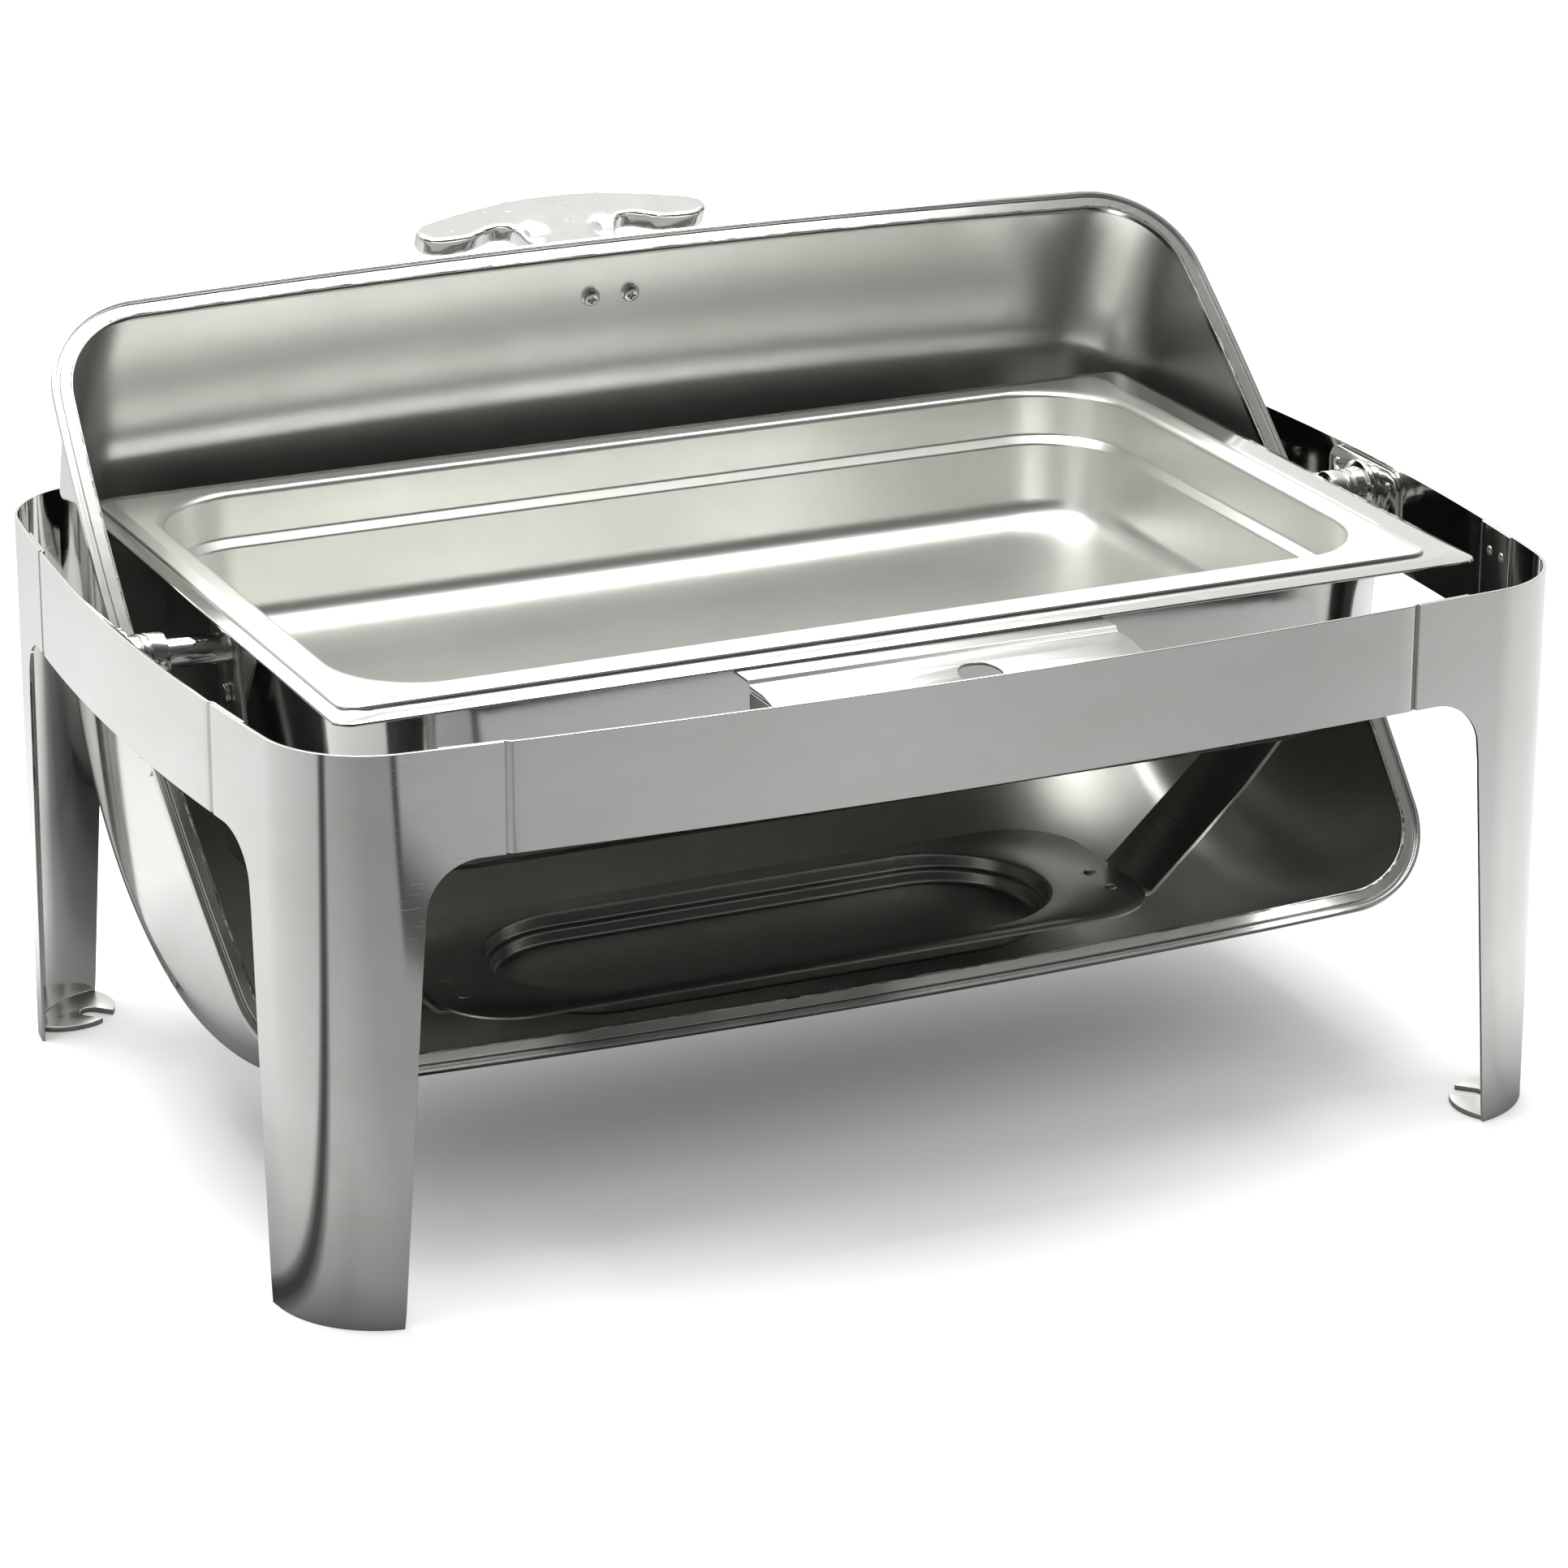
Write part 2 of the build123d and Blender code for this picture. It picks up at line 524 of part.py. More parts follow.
# ---------------------------------------------------------------- pivots
def build_pivots():
    plate_back, _ = wall_place("right", pivot_plate_width / 2, frame_sheet, 0)
    plate_x = plate_back[0]
    plate_face = plate_x - pivot_plate_sheet
    plate_z = frame_height - 2.0 - pivot_plate_height / 2
    plate = Plane(origin=(plate_face, 0, plate_z), x_dir=(0, 1, 0), z_dir=(1, 0, 0)) * RectangleRounded(
        pivot_plate_width, pivot_plate_height, pivot_plate_radius)
    plate = extrude(plate, amount=pivot_plate_sheet)
    studs, holes = [], []
    for y in (-1, 1):
        for z in (-1, 1):
            at = (plate_x, y * (pivot_plate_width / 2 - pivot_stud_inset),
                  plate_z + z * (pivot_plate_height / 2 - pivot_stud_inset))
            shank = rod(at, (-1, 0, 0), stud_radius, pivot_plate_sheet)
            head = rod((plate_face, at[1], at[2]), (-1, 0, 0), stud_head_radius, stud_head_height)
            studs.append(shank + head)
            holes.append(shank)
    outer_washer = ear_x + ear_sheet + washer_clearance
    boss_start = outer_washer + washer_thickness + washer_clearance
    boss = tube_x(boss_start, plate_face, boss_radius, axle_radius)
    boss += tube_x(plate_face - boss_flange_thickness, plate_face, boss_flange_radius, axle_radius)
    inner_washer = ear_x - washer_clearance - washer_thickness
    collar_end = inner_washer - washer_clearance
    collar = tube_x(collar_end - collar_length, collar_end, boss_radius, axle_radius)
    collar -= tube_x(collar_end - collar_length, collar_end - collar_length + collar_recess,
                     collar_recess_radius, axle_radius)
    washer_bore = axle_radius + running_clearance
    washers = [tube_x(x, x + washer_thickness, boss_radius - 0.5, washer_bore)
               for x in (inner_washer, outer_washer)]
    axle = tube_x(bracket_x(), plate_face, axle_radius, axle_radius - axle_wall)
    pieces = {"pivot_plate": plate - holes, "pivot_boss": boss, "pivot_collar": collar, "axle_tube": axle,
              "pivot_studs": Compound(children=studs), "pivot_washers": Compound(children=washers)}
    for name, piece in pieces.items():
        for side, shape in both_sides(piece).items():
            add(f"{name}_{side}", shape)


# ---------------------------------------------------------------- pan support and fuel shelf
def bracket_x():
    """Inner face of the right-hand bracket, just clear of the water pan's end wall."""
    return water_mouth_x + water_pan_sheet + abs(water_shift_x) + bracket_gap


def make_bracket():
    """Right-hand angle bracket: a pad under the water pan's rim and a web on the axle."""
    x = bracket_x()
    web_bottom = pan_seat_z - bracket_drop
    pad_end = water_half_x - abs(water_shift_x) - rim_edge_slope - bracket_pad_clearance
    pad = block(x, pad_end, -bracket_half_width, bracket_half_width,
                pan_seat_z - bracket_sheet, pan_seat_z)
    points = [(-bracket_half_width, pan_seat_z), (bracket_half_width, pan_seat_z),
              (bracket_half_width, pivot_z), (strap_top_radius, web_bottom),
              (-strap_top_radius, web_bottom), (-bracket_half_width, pivot_z)]
    face = make_face(Polyline(*points, close=True))
    web = extrude(Plane(origin=(x, 0, 0), x_dir=(0, 1, 0), z_dir=(1, 0, 0)) * face, amount=bracket_sheet)
    return pad + web


def make_strap():
    """Right-hand hanger strap: round the axle, down, inwards on a slant and under the shelf."""
    x = bracket_x() + bracket_sheet
    shelf_under = shelf_height - shelf_sheet
    bend_x = shelf_length / 2 + strap_sheet
    upper = shelf_height + strap_bend_rise
    centre = [(x + strap_sheet / 2, pivot_z + strap_top_radius + 1), (x + strap_sheet / 2, upper),
              (bend_x, shelf_under - strap_sheet / 2),
              (bend_x - strap_foot_length, shelf_under - strap_sheet / 2)]
    path = FilletPolyline(*centre, radius=5.0)
    ribbon = make_face(offset(path, strap_sheet / 2, side=Side.BOTH))
    side = Plane(origin=(0, 0, 0), x_dir=(1, 0, 0), z_dir=(0, -1, 0))
    bent = extrude(side * ribbon, amount=80, both=True)
    r = strap_top_radius
    view = make_face(Polyline((-r, pivot_z), (strap_foot_front, upper - 30), (strap_foot_front, 0),
                              (strap_foot_back, 0), (strap_foot_back, upper - 30), (r, pivot_z), close=True))
    view += Pos(0, pivot_z) * Circle(r)
    outline = extrude(Plane(origin=(0, 0, 0), x_dir=(0, 1, 0), z_dir=(1, 0, 0)) * view,
                      amount=frame_half_x)
    return bent & outline


def make_shelf():
    """Pressed fuel shelf: a flat plate with a two-step stadium recess."""
    def stadium(inset, z):
        return rounded_face(recess_length / 2 - inset, recess_width / 2 - inset,
                            recess_width / 2 - inset - 0.01, z)

    def well(grow):
        upper = extrude(stadium(-grow, shelf_height), amount=-(recess_ledge_drop + grow))
        deep = extrude(stadium(recess_ledge_width - grow, shelf_height), amount=-(recess_floor_drop + grow))
        return upper + deep

    plate = extrude(rounded_face(shelf_length / 2, shelf_depth / 2, shelf_corner_radius, shelf_height),
                    amount=-shelf_sheet)
    return plate + well(shelf_sheet) - well(0.0)


def make_bridge():
    """Front bridge: a ledge under the water pan's rim, stepped down in a tray to the front rail."""
    t = bridge_sheet
    x0, x1 = bridge_centre - bridge_length / 2, bridge_centre + bridge_length / 2
    rim_front = water_shift_y - water_half_y
    rail_face = -(frame_half_y - frame_sheet)
    ledge_z = water_rim_z - rim_drop - seat_clearance
    ys = [rim_front + bridge_under_rim]
    ys += [ys[0] - bridge_ledge, ys[0] - bridge_ledge - bridge_step]
    ys += [ys[2] - bridge_flat, ys[2] - bridge_flat - bridge_slope_width, rail_face - t]
    floor = ledge_z - bridge_step - bridge_slope
    zs = [ledge_z, ledge_z, ledge_z - bridge_step, ledge_z - bridge_step, floor, floor]
    top = list(zip(ys, zs))
    under = [(y, z - t) for y, z in reversed(top)]
    side = Plane(origin=(x0, 0, 0), x_dir=(0, 1, 0), z_dir=(1, 0, 0))
    tray = extrude(side * make_face(Polyline(*top, *under, close=True)), amount=bridge_length)
    tray = fillet(tray.edges().filter_by(Axis.Z).sort_by(Axis.Y)[-2:], bridge_corner_radius)
    wall_top, wall_bottom = floor - t / 2, floor - bridge_end_wall
    for x in (x0, x1 - t):
        tray += block(x, x + t, rail_face - t, ys[2], wall_bottom, wall_top)
    flange = frame_outline(frame_sheet) - frame_outline(frame_sheet + t)
    flange = extrude(Pos(0, 0, wall_bottom) * flange, amount=bridge_end_wall)
    tray += flange & block(x0, x1, rail_face - t, rail_face + bridge_flange, wall_bottom, floor)
    hole = rod((bridge_hole_x, rail_face + bridge_hole_inset, 0), (0, 0, 1), bridge_hole_radius, ledge_z + t)
    return (tray & extrude(frame_outline(frame_sheet), amount=frame_height + t)) - hole


def build_support():
    bracket, strap = make_bracket(), make_strap()
    shelf = make_shelf()
    x = bracket_x()
    bolt_z = pivot_z - strap_bolt_drop
    axle_hole = rod((x - 1, 0, pivot_z), (1, 0, 0), axle_radius, 10)
    grip = bracket_sheet + strap_sheet
    bolt = rod((x, 0, bolt_z), (1, 0, 0), bolt_radius, grip)
    head = rod((x + grip, 0, bolt_z), (1, 0, 0), bolt_head_radius, bolt_head_height)
    rivets, holes = [], []
    for y in shelf_rivets_y:
        rivet_x = shelf_length / 2 - 14.0
        shank = rod((rivet_x, y, shelf_height), (0, 0, -1), stud_radius + 0.5, shelf_sheet + strap_sheet)
        rivets.append(shank + rod((rivet_x, y, shelf_height), (0, 0, 1), 3.2, 0.9)
                      + rod((rivet_x, y, shelf_height - shelf_sheet - strap_sheet), (0, 0, -1), 3.0, 0.9))
        holes.append(shank)
    left_holes = [mirror(h, Plane.YZ) for h in holes]
    for side, shape in both_sides(bracket - axle_hole - bolt).items():
        add(f"pan_bracket_{side}", shape)
    for side, shape in both_sides(strap - axle_hole - bolt - holes).items():
        add(f"shelf_strap_{side}", shape)
    for side, shape in both_sides(bolt + head).items():
        add(f"strap_bolt_{side}", shape)
    add("fuel_shelf", shelf - holes - left_holes)
    add("shelf_rivets", Compound(children=rivets + [mirror(r, Plane.YZ) for r in rivets]))
    add("front_bridge", make_bridge())


# ---------------------------------------------------------------- whole object
def write_parts():
    os.makedirs("parts", exist_ok=True)
    for name, shape in nodes.items():
        export_step(shape, os.path.join("parts", f"{name}.step"))


build_frame()
build_lid()
build_pivots()
build_support()
add("water_pan", make_water_pan())
add("food_pan", make_food_pan())
write_parts()
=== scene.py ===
"""Full-size roll-top chafing dish in polished and satin stainless steel, lid rolled open.

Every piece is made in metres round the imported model: +X along the length, -Y the serving side, +Z up.
"""

import bmesh
import bpy
import json
import math
from mathutils import Matrix, Vector

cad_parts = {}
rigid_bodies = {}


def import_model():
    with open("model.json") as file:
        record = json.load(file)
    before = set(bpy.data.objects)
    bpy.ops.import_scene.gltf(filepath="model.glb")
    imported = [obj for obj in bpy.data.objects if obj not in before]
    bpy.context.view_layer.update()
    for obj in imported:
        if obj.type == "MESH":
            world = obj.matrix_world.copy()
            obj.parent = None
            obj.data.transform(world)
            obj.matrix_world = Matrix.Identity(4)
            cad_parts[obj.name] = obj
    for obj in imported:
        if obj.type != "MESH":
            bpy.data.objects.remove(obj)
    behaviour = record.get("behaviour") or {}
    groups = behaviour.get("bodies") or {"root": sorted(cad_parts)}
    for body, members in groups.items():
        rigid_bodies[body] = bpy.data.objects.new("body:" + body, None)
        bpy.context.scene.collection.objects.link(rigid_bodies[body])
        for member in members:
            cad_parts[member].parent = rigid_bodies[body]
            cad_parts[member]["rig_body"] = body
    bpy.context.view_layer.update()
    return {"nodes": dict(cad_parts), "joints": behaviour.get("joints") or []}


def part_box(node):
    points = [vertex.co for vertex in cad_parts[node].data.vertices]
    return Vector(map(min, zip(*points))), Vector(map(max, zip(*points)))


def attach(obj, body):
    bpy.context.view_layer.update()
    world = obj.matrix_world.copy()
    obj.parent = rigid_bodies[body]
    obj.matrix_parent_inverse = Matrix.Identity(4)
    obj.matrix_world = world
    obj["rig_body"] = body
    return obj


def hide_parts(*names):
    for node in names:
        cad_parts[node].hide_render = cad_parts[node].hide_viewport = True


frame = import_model()
MM = 0.001
nodes = frame["nodes"]
sides = ("right", "left")
corners = {"front_right": (1, -1), "rear_right": (1, 1), "front_left": (-1, -1), "rear_left": (-1, 1)}
hinge = next(j for j in frame["joints"] if j["name"] == "lid_hinge")
pivot = Vector(hinge["pos_m"])
open_angle = math.radians(hinge["range_deg"][1])


# ---------------------------------------------------------------- sizes, in millimetres
frame_half = [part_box("rail_right")[1][0] / MM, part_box("rail_rear")[1][1] / MM]
frame_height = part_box("leg_rear_right")[1][2] / MM
rail_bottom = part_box("rail_front")[0][2] / MM
frame_sheet, frame_bow, frame_corner = 1.5, (16.5, 15.9), 49.6
leg_reach, leg_top, leg_foot = (100.4, 105.5), (66.6, 72.6), (52.4, 62.5)  # from the outer corner
leg_fillet = 25.0
seam_gap, joggle_length, tab_length, tab_play = 0.5, 3.4, 28.0, 0.05
seam = [frame_half[i] - leg_reach[i] for i in (0, 1)]

lid_sheet, lid_bow, lid_corner, rim_rise = 0.9, (8.6, 6.2), 43.0, 32.3
lid_half = (295.6, 199.5)       # inside the mouth
lid_end_room = 0.25             # the dome's ends stand this far outside the mouth's sheet
rim_width, rim_thickness, rim_overlap = 9.5, 3.5, 0.4
groove_start, groove_width, groove_depth = 5.5, 2.0, 2.0

pan_sheet, pan_rim, pan_corner = 0.9, 15.0, 47.0
pan_taper, pan_step_drop, pan_step, pan_lean = 1.2, 22.0, 4.0, 7.0
water_sheet, water_rim, water_corner, water_lean = 1.0, 19.5, 58.0, 3.0
margin_width, margin_fall, edge_drop, rim_corner = 5.5, 1.7, 1.0, 8.0
edge_turn, ridge_height, floor_start = 0.3, 1.5, -60.0

shelf_sheet, shelf_corner, shelf_taper, shelf_edge = 1.2, 36.0, 0.8, 0.2
recess_half, ledge_drop, ledge_width, recess_drop = (143.0, 51.0), 7.0, 4.0, 13.5
stud_head, rivet_head = (2.3, 0.9), (3.1, 0.9)      # radius and height of the domed heads


# ---------------------------------------------------------------- meshes
def new_piece(name, verts, faces, mats, smooth=True):
    mesh = bpy.data.meshes.new(name)
    mesh.from_pydata([[c * MM for c in v] for v in verts], [], faces)
    return finish_mesh(name, mesh, mats, smooth)


def finish_mesh(name, mesh, mats, smooth=True):
    bm = bmesh.new()
    bm.from_mesh(mesh)
    bmesh.ops.remove_doubles(bm, verts=bm.verts, dist=1e-7)
    bmesh.ops.recalc_face_normals(bm, faces=bm.faces)
    bm.to_mesh(mesh)
    bm.free()
    for mat in mats:
        mesh.materials.append(mat)
    mesh.polygons.foreach_set("use_smooth", [smooth] * len(mesh.polygons))
    obj = bpy.data.objects.new(name, mesh)
    bpy.context.scene.collection.objects.link(obj)
    return obj


def bevel(obj, width, segments=2, angle=35):
    mod = obj.modifiers.new("edge", "BEVEL")
    mod.width, mod.segments = width * MM, segments
    mod.limit_method, mod.angle_limit = "ANGLE", math.radians(angle)
    mod.harden_normals = True
    return obj


def install(obj, node):
    """Puts a finished piece in the place of a CAD node, on that node's body."""
    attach(obj, nodes[node]["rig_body"])
    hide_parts(node)
    return obj


def grid_faces(cols, rows, start=0, flip=False, wrap_cols=False, wrap_rows=False):
    faces = []
    for i in range(cols if wrap_cols else cols - 1):
        for j in range(rows if wrap_rows else rows - 1):
            a, b = start + i * rows + j, start + ((i + 1) % cols) * rows + j
            c, d = start + ((i + 1) % cols) * rows + (j + 1) % rows, start + i * rows + (j + 1) % rows
            faces.append((a, d, c, b) if flip else (a, b, c, d))
    return faces


def sheet_solid(name, outer, inner, mats, inner_mat=0):
    """Sheet metal between two grids of points, its four edges closed."""
    cols, rows = len(outer), len(outer[0])
    verts = [p for col in outer for p in col] + [p for col in inner for p in col]
    half = cols * rows
    faces = grid_faces(cols, rows) + grid_faces(cols, rows, half, flip=True)
    border = [j for j in range(rows)] + [i * rows + rows - 1 for i in range(1, cols)]
    border += [(cols - 1) * rows + j for j in range(rows - 2, -1, -1)]
    border += [i * rows for i in range(cols - 2, 0, -1)]
    for a, b in zip(border, border[1:] + border[:1]):
        faces.append((a, b, b + half, a + half))
    obj = new_piece(name, verts, faces, mats)
    if inner_mat:
        centre = Vector((0, 0, pivot.z))
        for poly in obj.data.polygons:
            if poly.normal.dot(poly.center - centre) < 0:
                poly.material_index = inner_mat
    return obj


def loop_solid(name, loops, mats, closed_section=False):
    """Skins rings of equal count; the section either closes on itself or is capped at both ends."""
    rows = len(loops[0])
    verts = [p for loop in loops for p in loop]
    faces = grid_faces(len(loops), rows, wrap_cols=closed_section, wrap_rows=True)
    if not closed_section:
        faces += [tuple(range(rows)), tuple(range(len(verts) - 1, len(verts) - rows - 1, -1))]
    return new_piece(name, verts, faces, mats)


def copy_of(node, mat, width=0.25, segments=2):
    """The CAD node's own shape with its facets joined, its flats cleaned and its edges broken."""
    mesh = nodes[node].data.copy()
    mesh.materials.clear()
    bm = bmesh.new()
    bm.from_mesh(mesh)
    bmesh.ops.remove_doubles(bm, verts=bm.verts, dist=2e-6)
    bmesh.ops.dissolve_limit(bm, angle_limit=math.radians(1.0), verts=bm.verts, edges=bm.edges)
    bm.to_mesh(mesh)
    bm.free()
    obj = finish_mesh(node + "_finished", mesh, [mat])
    return install(bevel(obj, width, segments, angle=30), node)


# ---------------------------------------------------------------- outlines
def line_points(a, b, count):
    return [a + (b - a) * i / count for i in range(count + 1)]


class Bowed:
    """Rounded rectangle whose sides swell outwards, as a walk of points with outward normals."""

    def __init__(self, half, bow, corner):
        self.half, self.corner = half, corner
        self.radius = [((half[1 - i] - bow[1 - i]) ** 2 + bow[i] ** 2) / (2 * bow[i]) for i in (0, 1)]
        self.centre = [half[i] - self.radius[i] for i in (0, 1)]
        self.corner_centre = self.meet(corner)
        cx, cy = self.corner_centre
        self.end_turn = math.atan2(cy, cx - self.centre[0])
        self.front_turn = math.atan2(cx, cy - self.centre[1])

    def meet(self, inset):
        a, b = self.centre
        ra, rb = self.radius[0] - inset, self.radius[1] - inset
        gap = math.hypot(a, b)
        along = (ra ** 2 - rb ** 2 + gap ** 2) / (2 * gap)
        off = math.sqrt(ra ** 2 - along ** 2)
        return a - along * a / gap - off * b / gap, along * b / gap - off * a / gap

    def end(self, turn):
        """Place and normal on the +X side."""
        n = (math.cos(turn), math.sin(turn))
        return (self.centre[0] + self.radius[0] * n[0], self.radius[0] * n[1], *n)

    def side(self, turn):
        """Place and normal on the +Y side; turn is counted from +Y towards +X."""
        n = (math.sin(turn), math.cos(turn))
        return (self.radius[1] * n[0], self.centre[1] + self.radius[1] * n[1], *n)

    def bend(self, angle):
        n = (math.cos(angle), math.sin(angle))
        return (self.corner_centre[0] + self.corner * n[0], self.corner_centre[1] + self.corner * n[1], *n)

    def quarter(self, n_end, n_corner, n_side):
        """From (half, 0) round the corner to (0, half)."""
        points = [self.end(t) for t in line_points(0.0, self.end_turn, n_end)]
        bend = line_points(self.end_turn, math.pi / 2 - self.front_turn, n_corner)
        points += [self.bend(a) for a in bend[1:]]
        return points + [self.side(t) for t in line_points(self.front_turn, 0.0, n_side)[1:]]

    def loop(self, n_end=10, n_corner=18, n_side=20):
        first = self.quarter(n_end, n_corner, n_side)
        second = [(-x, y, -nx, ny) for x, y, nx, ny in reversed(first)][1:]
        upper = first + second
        lower = [(x, -y, nx, -ny) for x, y, nx, ny in reversed(upper)][1:-1]
        return upper + lower


def rounded_ring(half_x, half_y, radius, centre, z, n_corner=14, n_side=10):
    """Rounded rectangle as (x, y, z, weight); weight is 1 in the middle of a corner and 0 off it."""
    points = []
    for quarter in range(4):
        sx, sy = ((1, 1), (-1, 1), (-1, -1), (1, -1))[quarter]
        cx, cy = sx * (half_x - radius), sy * (half_y - radius)
        for i in range(n_corner + 1):
            a = math.pi / 2 * (quarter + i / n_corner)
            weight = math.sin(math.pi * i / n_corner) ** 2
            points.append((cx + radius * math.cos(a), cy + radius * math.sin(a), z, weight))
        nxt = ((-1, 1), (-1, -1), (1, -1), (1, 1))[quarter]
        ex, ey = nxt[0] * (half_x - radius), nxt[1] * (half_y - radius)
        a = math.pi / 2 * (quarter + 1)
        start = Vector((points[-1][0], points[-1][1]))
        stop = Vector((ex + radius * math.cos(a), ey + radius * math.sin(a)))
        points += [(*start.lerp(stop, k / n_side), z, 0.0) for k in range(1, n_side)]
    return [(x + centre[0], y + centre[1], z, w) for x, y, z, w in points]


def rounded_path(points, radii, steps=7):
    """Polyline with its inner corners rounded."""
    path = [Vector(points[0])]
    for before, here, after, radius in zip(points, points[1:], points[2:], radii):
        here = Vector(here)
        u, v = (Vector(before) - here).normalized(), (Vector(after) - here).normalized()
        half = math.acos(max(-1.0, min(1.0, u.dot(v)))) / 2
        if radius <= 0 or half > math.radians(89.5):
            path.append(here)
            continue
        centre = here + (u + v).normalized() * radius / math.sin(half)
        start, stop = (here + side * radius / math.tan(half) - centre for side in (u, v))
        turn = start.angle_signed(stop)
        path += [centre + Matrix.Rotation(-turn * k / steps, 2) @ start for k in range(steps + 1)]
    return path + [Vector(points[-1])]


def parallel_path(path, distance):
    """The path moved sideways, to its left, by a sheet's thickness."""
    moved = []
    for i, p in enumerate(path):
        t = (path[min(i + 1, len(path) - 1)] - path[max(i - 1, 0)]).normalized()
        moved.append(p + Vector((-t.y, t.x)) * distance)
    return moved


# ---------------------------------------------------------------- materials
class Sock:
    """A value socket that adds Math nodes when it is used in an expression."""

    def __init__(self, tree, socket):
        self.tree, self.socket = tree, socket

    def math(self, op, other, flip=False):
        a, b = (other, self) if flip else (self, other)
        return self.tree.node("ShaderNodeMath", {"operation": op}, {0: a, 1: b})[0]

    def __add__(self, o): return self.math("ADD", o)
    def __radd__(self, o): return self.math("ADD", o, True)
    def __sub__(self, o): return self.math("SUBTRACT", o)
    def __rsub__(self, o): return self.math("SUBTRACT", o, True)
    def __mul__(self, o): return self.math("MULTIPLY", o)
    def __rmul__(self, o): return self.math("MULTIPLY", o, True)


class Tree:
    """A material's nodes, made by one method."""

    def __init__(self, name):
        self.mat = bpy.data.materials.new(name)
        self.mat.use_nodes = True
        self.nt = self.mat.node_tree
        self.nt.nodes.clear()

    def node(self, kind, settings=None, sockets=None):
        n = self.nt.nodes.new(kind)
        for key, value in (settings or {}).items():
            if key == "stops":
                while len(n.color_ramp.elements) > len(value):
                    n.color_ramp.elements.remove(n.color_ramp.elements[-1])
                while len(n.color_ramp.elements) < len(value):
                    n.color_ramp.elements.new(1.0)
                for stop, (at, shade) in zip(n.color_ramp.elements, value):
                    stop.position, stop.color = at, (shade, shade, shade, 1.0)
            else:
                setattr(n, key, value)
        for key, value in (sockets or {}).items():
            if isinstance(value, Sock):
                self.nt.links.new(value.socket, n.inputs[key])
            else:
                n.inputs[key].default_value = value
        return [Sock(self, s) for s in n.outputs]

    def noise(self, place, scale, detail=2.0, rough=0.5):
        return self.node("ShaderNodeTexNoise", None, {"Vector": place, "Scale": scale, "Detail": detail,
                                                      "Roughness": rough})[0]

    def stretched(self, scale):
        place = self.node("ShaderNodeTexCoord")[3]
        return self.node("ShaderNodeMapping", None, {"Vector": place, "Scale": scale})[0]

    def ramp(self, value, stops):
        return self.node("ShaderNodeValToRGB", {"stops": stops}, {"Fac": value})[0]

    def tint(self, value, low, high):
        return self.node("ShaderNodeMix", {"data_type": "RGBA"}, {0: value, 6: (*low, 1), 7: (*high, 1)})[2]

    def steel(self, colour, rough, height=None, strength=0.1, distance=0.0002):
        sockets = {"Metallic": 1.0, "Base Color": colour, "Roughness": rough}
        if height:
            sockets["Normal"] = self.node("ShaderNodeBump", None, {"Height": height, "Strength": strength,
                                                                   "Distance": distance})[0]
        shader = self.node("ShaderNodeBsdfPrincipled", None, sockets)[0]
        self.node("ShaderNodeOutputMaterial", None, {"Surface": shader})
        return self.mat


def polished_steel(name, base=0.70, rough=0.045, ripple=0.10):
    """Mirror polish: a faint sheet-metal ripple, wiped smears and a few hairline scratches."""
    t = Tree(name)
    place = t.stretched((1, 1, 1))
    smear = t.ramp(t.noise(t.stretched((1.2, 1.2, 3.0)), 9.0, 6.0, 0.62), [(0.42, 0.0), (0.75, 1.0)])
    hair = t.ramp(t.noise(t.stretched((6.0, 6.0, 140.0)), 12.0, 2.0), [(0.66, 0.0), (0.70, 1.0)])
    grain = t.noise(t.stretched((40.0, 40.0, 900.0)), 3.0, 3.0)
    wave = t.noise(place, 7.0, 1.0) + hair * 0.02 + grain * 0.006
    colour = t.tint(smear, (base, base, base * 0.975), (base * 0.93, base * 0.925, base * 0.89))
    roughness = rough + smear * 0.05 + hair * 0.06 + grain * 0.015
    return t.steel(colour, roughness, wave, ripple, 0.002)


def satin_steel(name, base, rough, along, grain=0.35):
    """Satin finish with its grain along one axis, clouded a little by handling."""
    t = Tree(name)
    stretch = [700.0, 700.0, 700.0]
    stretch[along] = 9.0
    line = t.noise(t.stretched(stretch), 1.0, 3.0, 0.6)
    fine = t.noise(t.stretched([s * 2.7 for s in stretch]), 1.0, 2.0)
    cloud = t.ramp(t.noise(t.stretched((1, 1, 1)), 13.0, 5.0, 0.6), [(0.3, 0.0), (0.72, 1.0)])
    lot = t.noise(t.stretched((1, 1, 1)), 900.0, 2.0)
    colour = t.tint(cloud, (base, base, base * 0.965), (base * 0.92, base * 0.915, base * 0.87))
    roughness = rough + line * 0.07 + cloud * 0.05
    return t.steel(colour, roughness, line * 0.6 + fine * 0.3 + lot * 0.2, grain, 0.00012)


def cast_steel(name, base=0.74, rough=0.07):
    """Polished casting: soft hollows under the shine and tiny pits."""
    t = Tree(name)
    soft = t.noise(t.stretched((1, 1, 1)), 60.0, 3.0)
    pit = t.ramp(t.noise(t.stretched((1, 1, 1)), 520.0, 2.0), [(0.70, 0.0), (0.80, 1.0)])
    colour = t.tint(pit, (base, base, base * 0.98), (base * 0.6, base * 0.6, base * 0.57))
    return t.steel(colour, rough + soft * 0.06 + pit * 0.2, soft + pit * -0.15, 0.12, 0.0006)


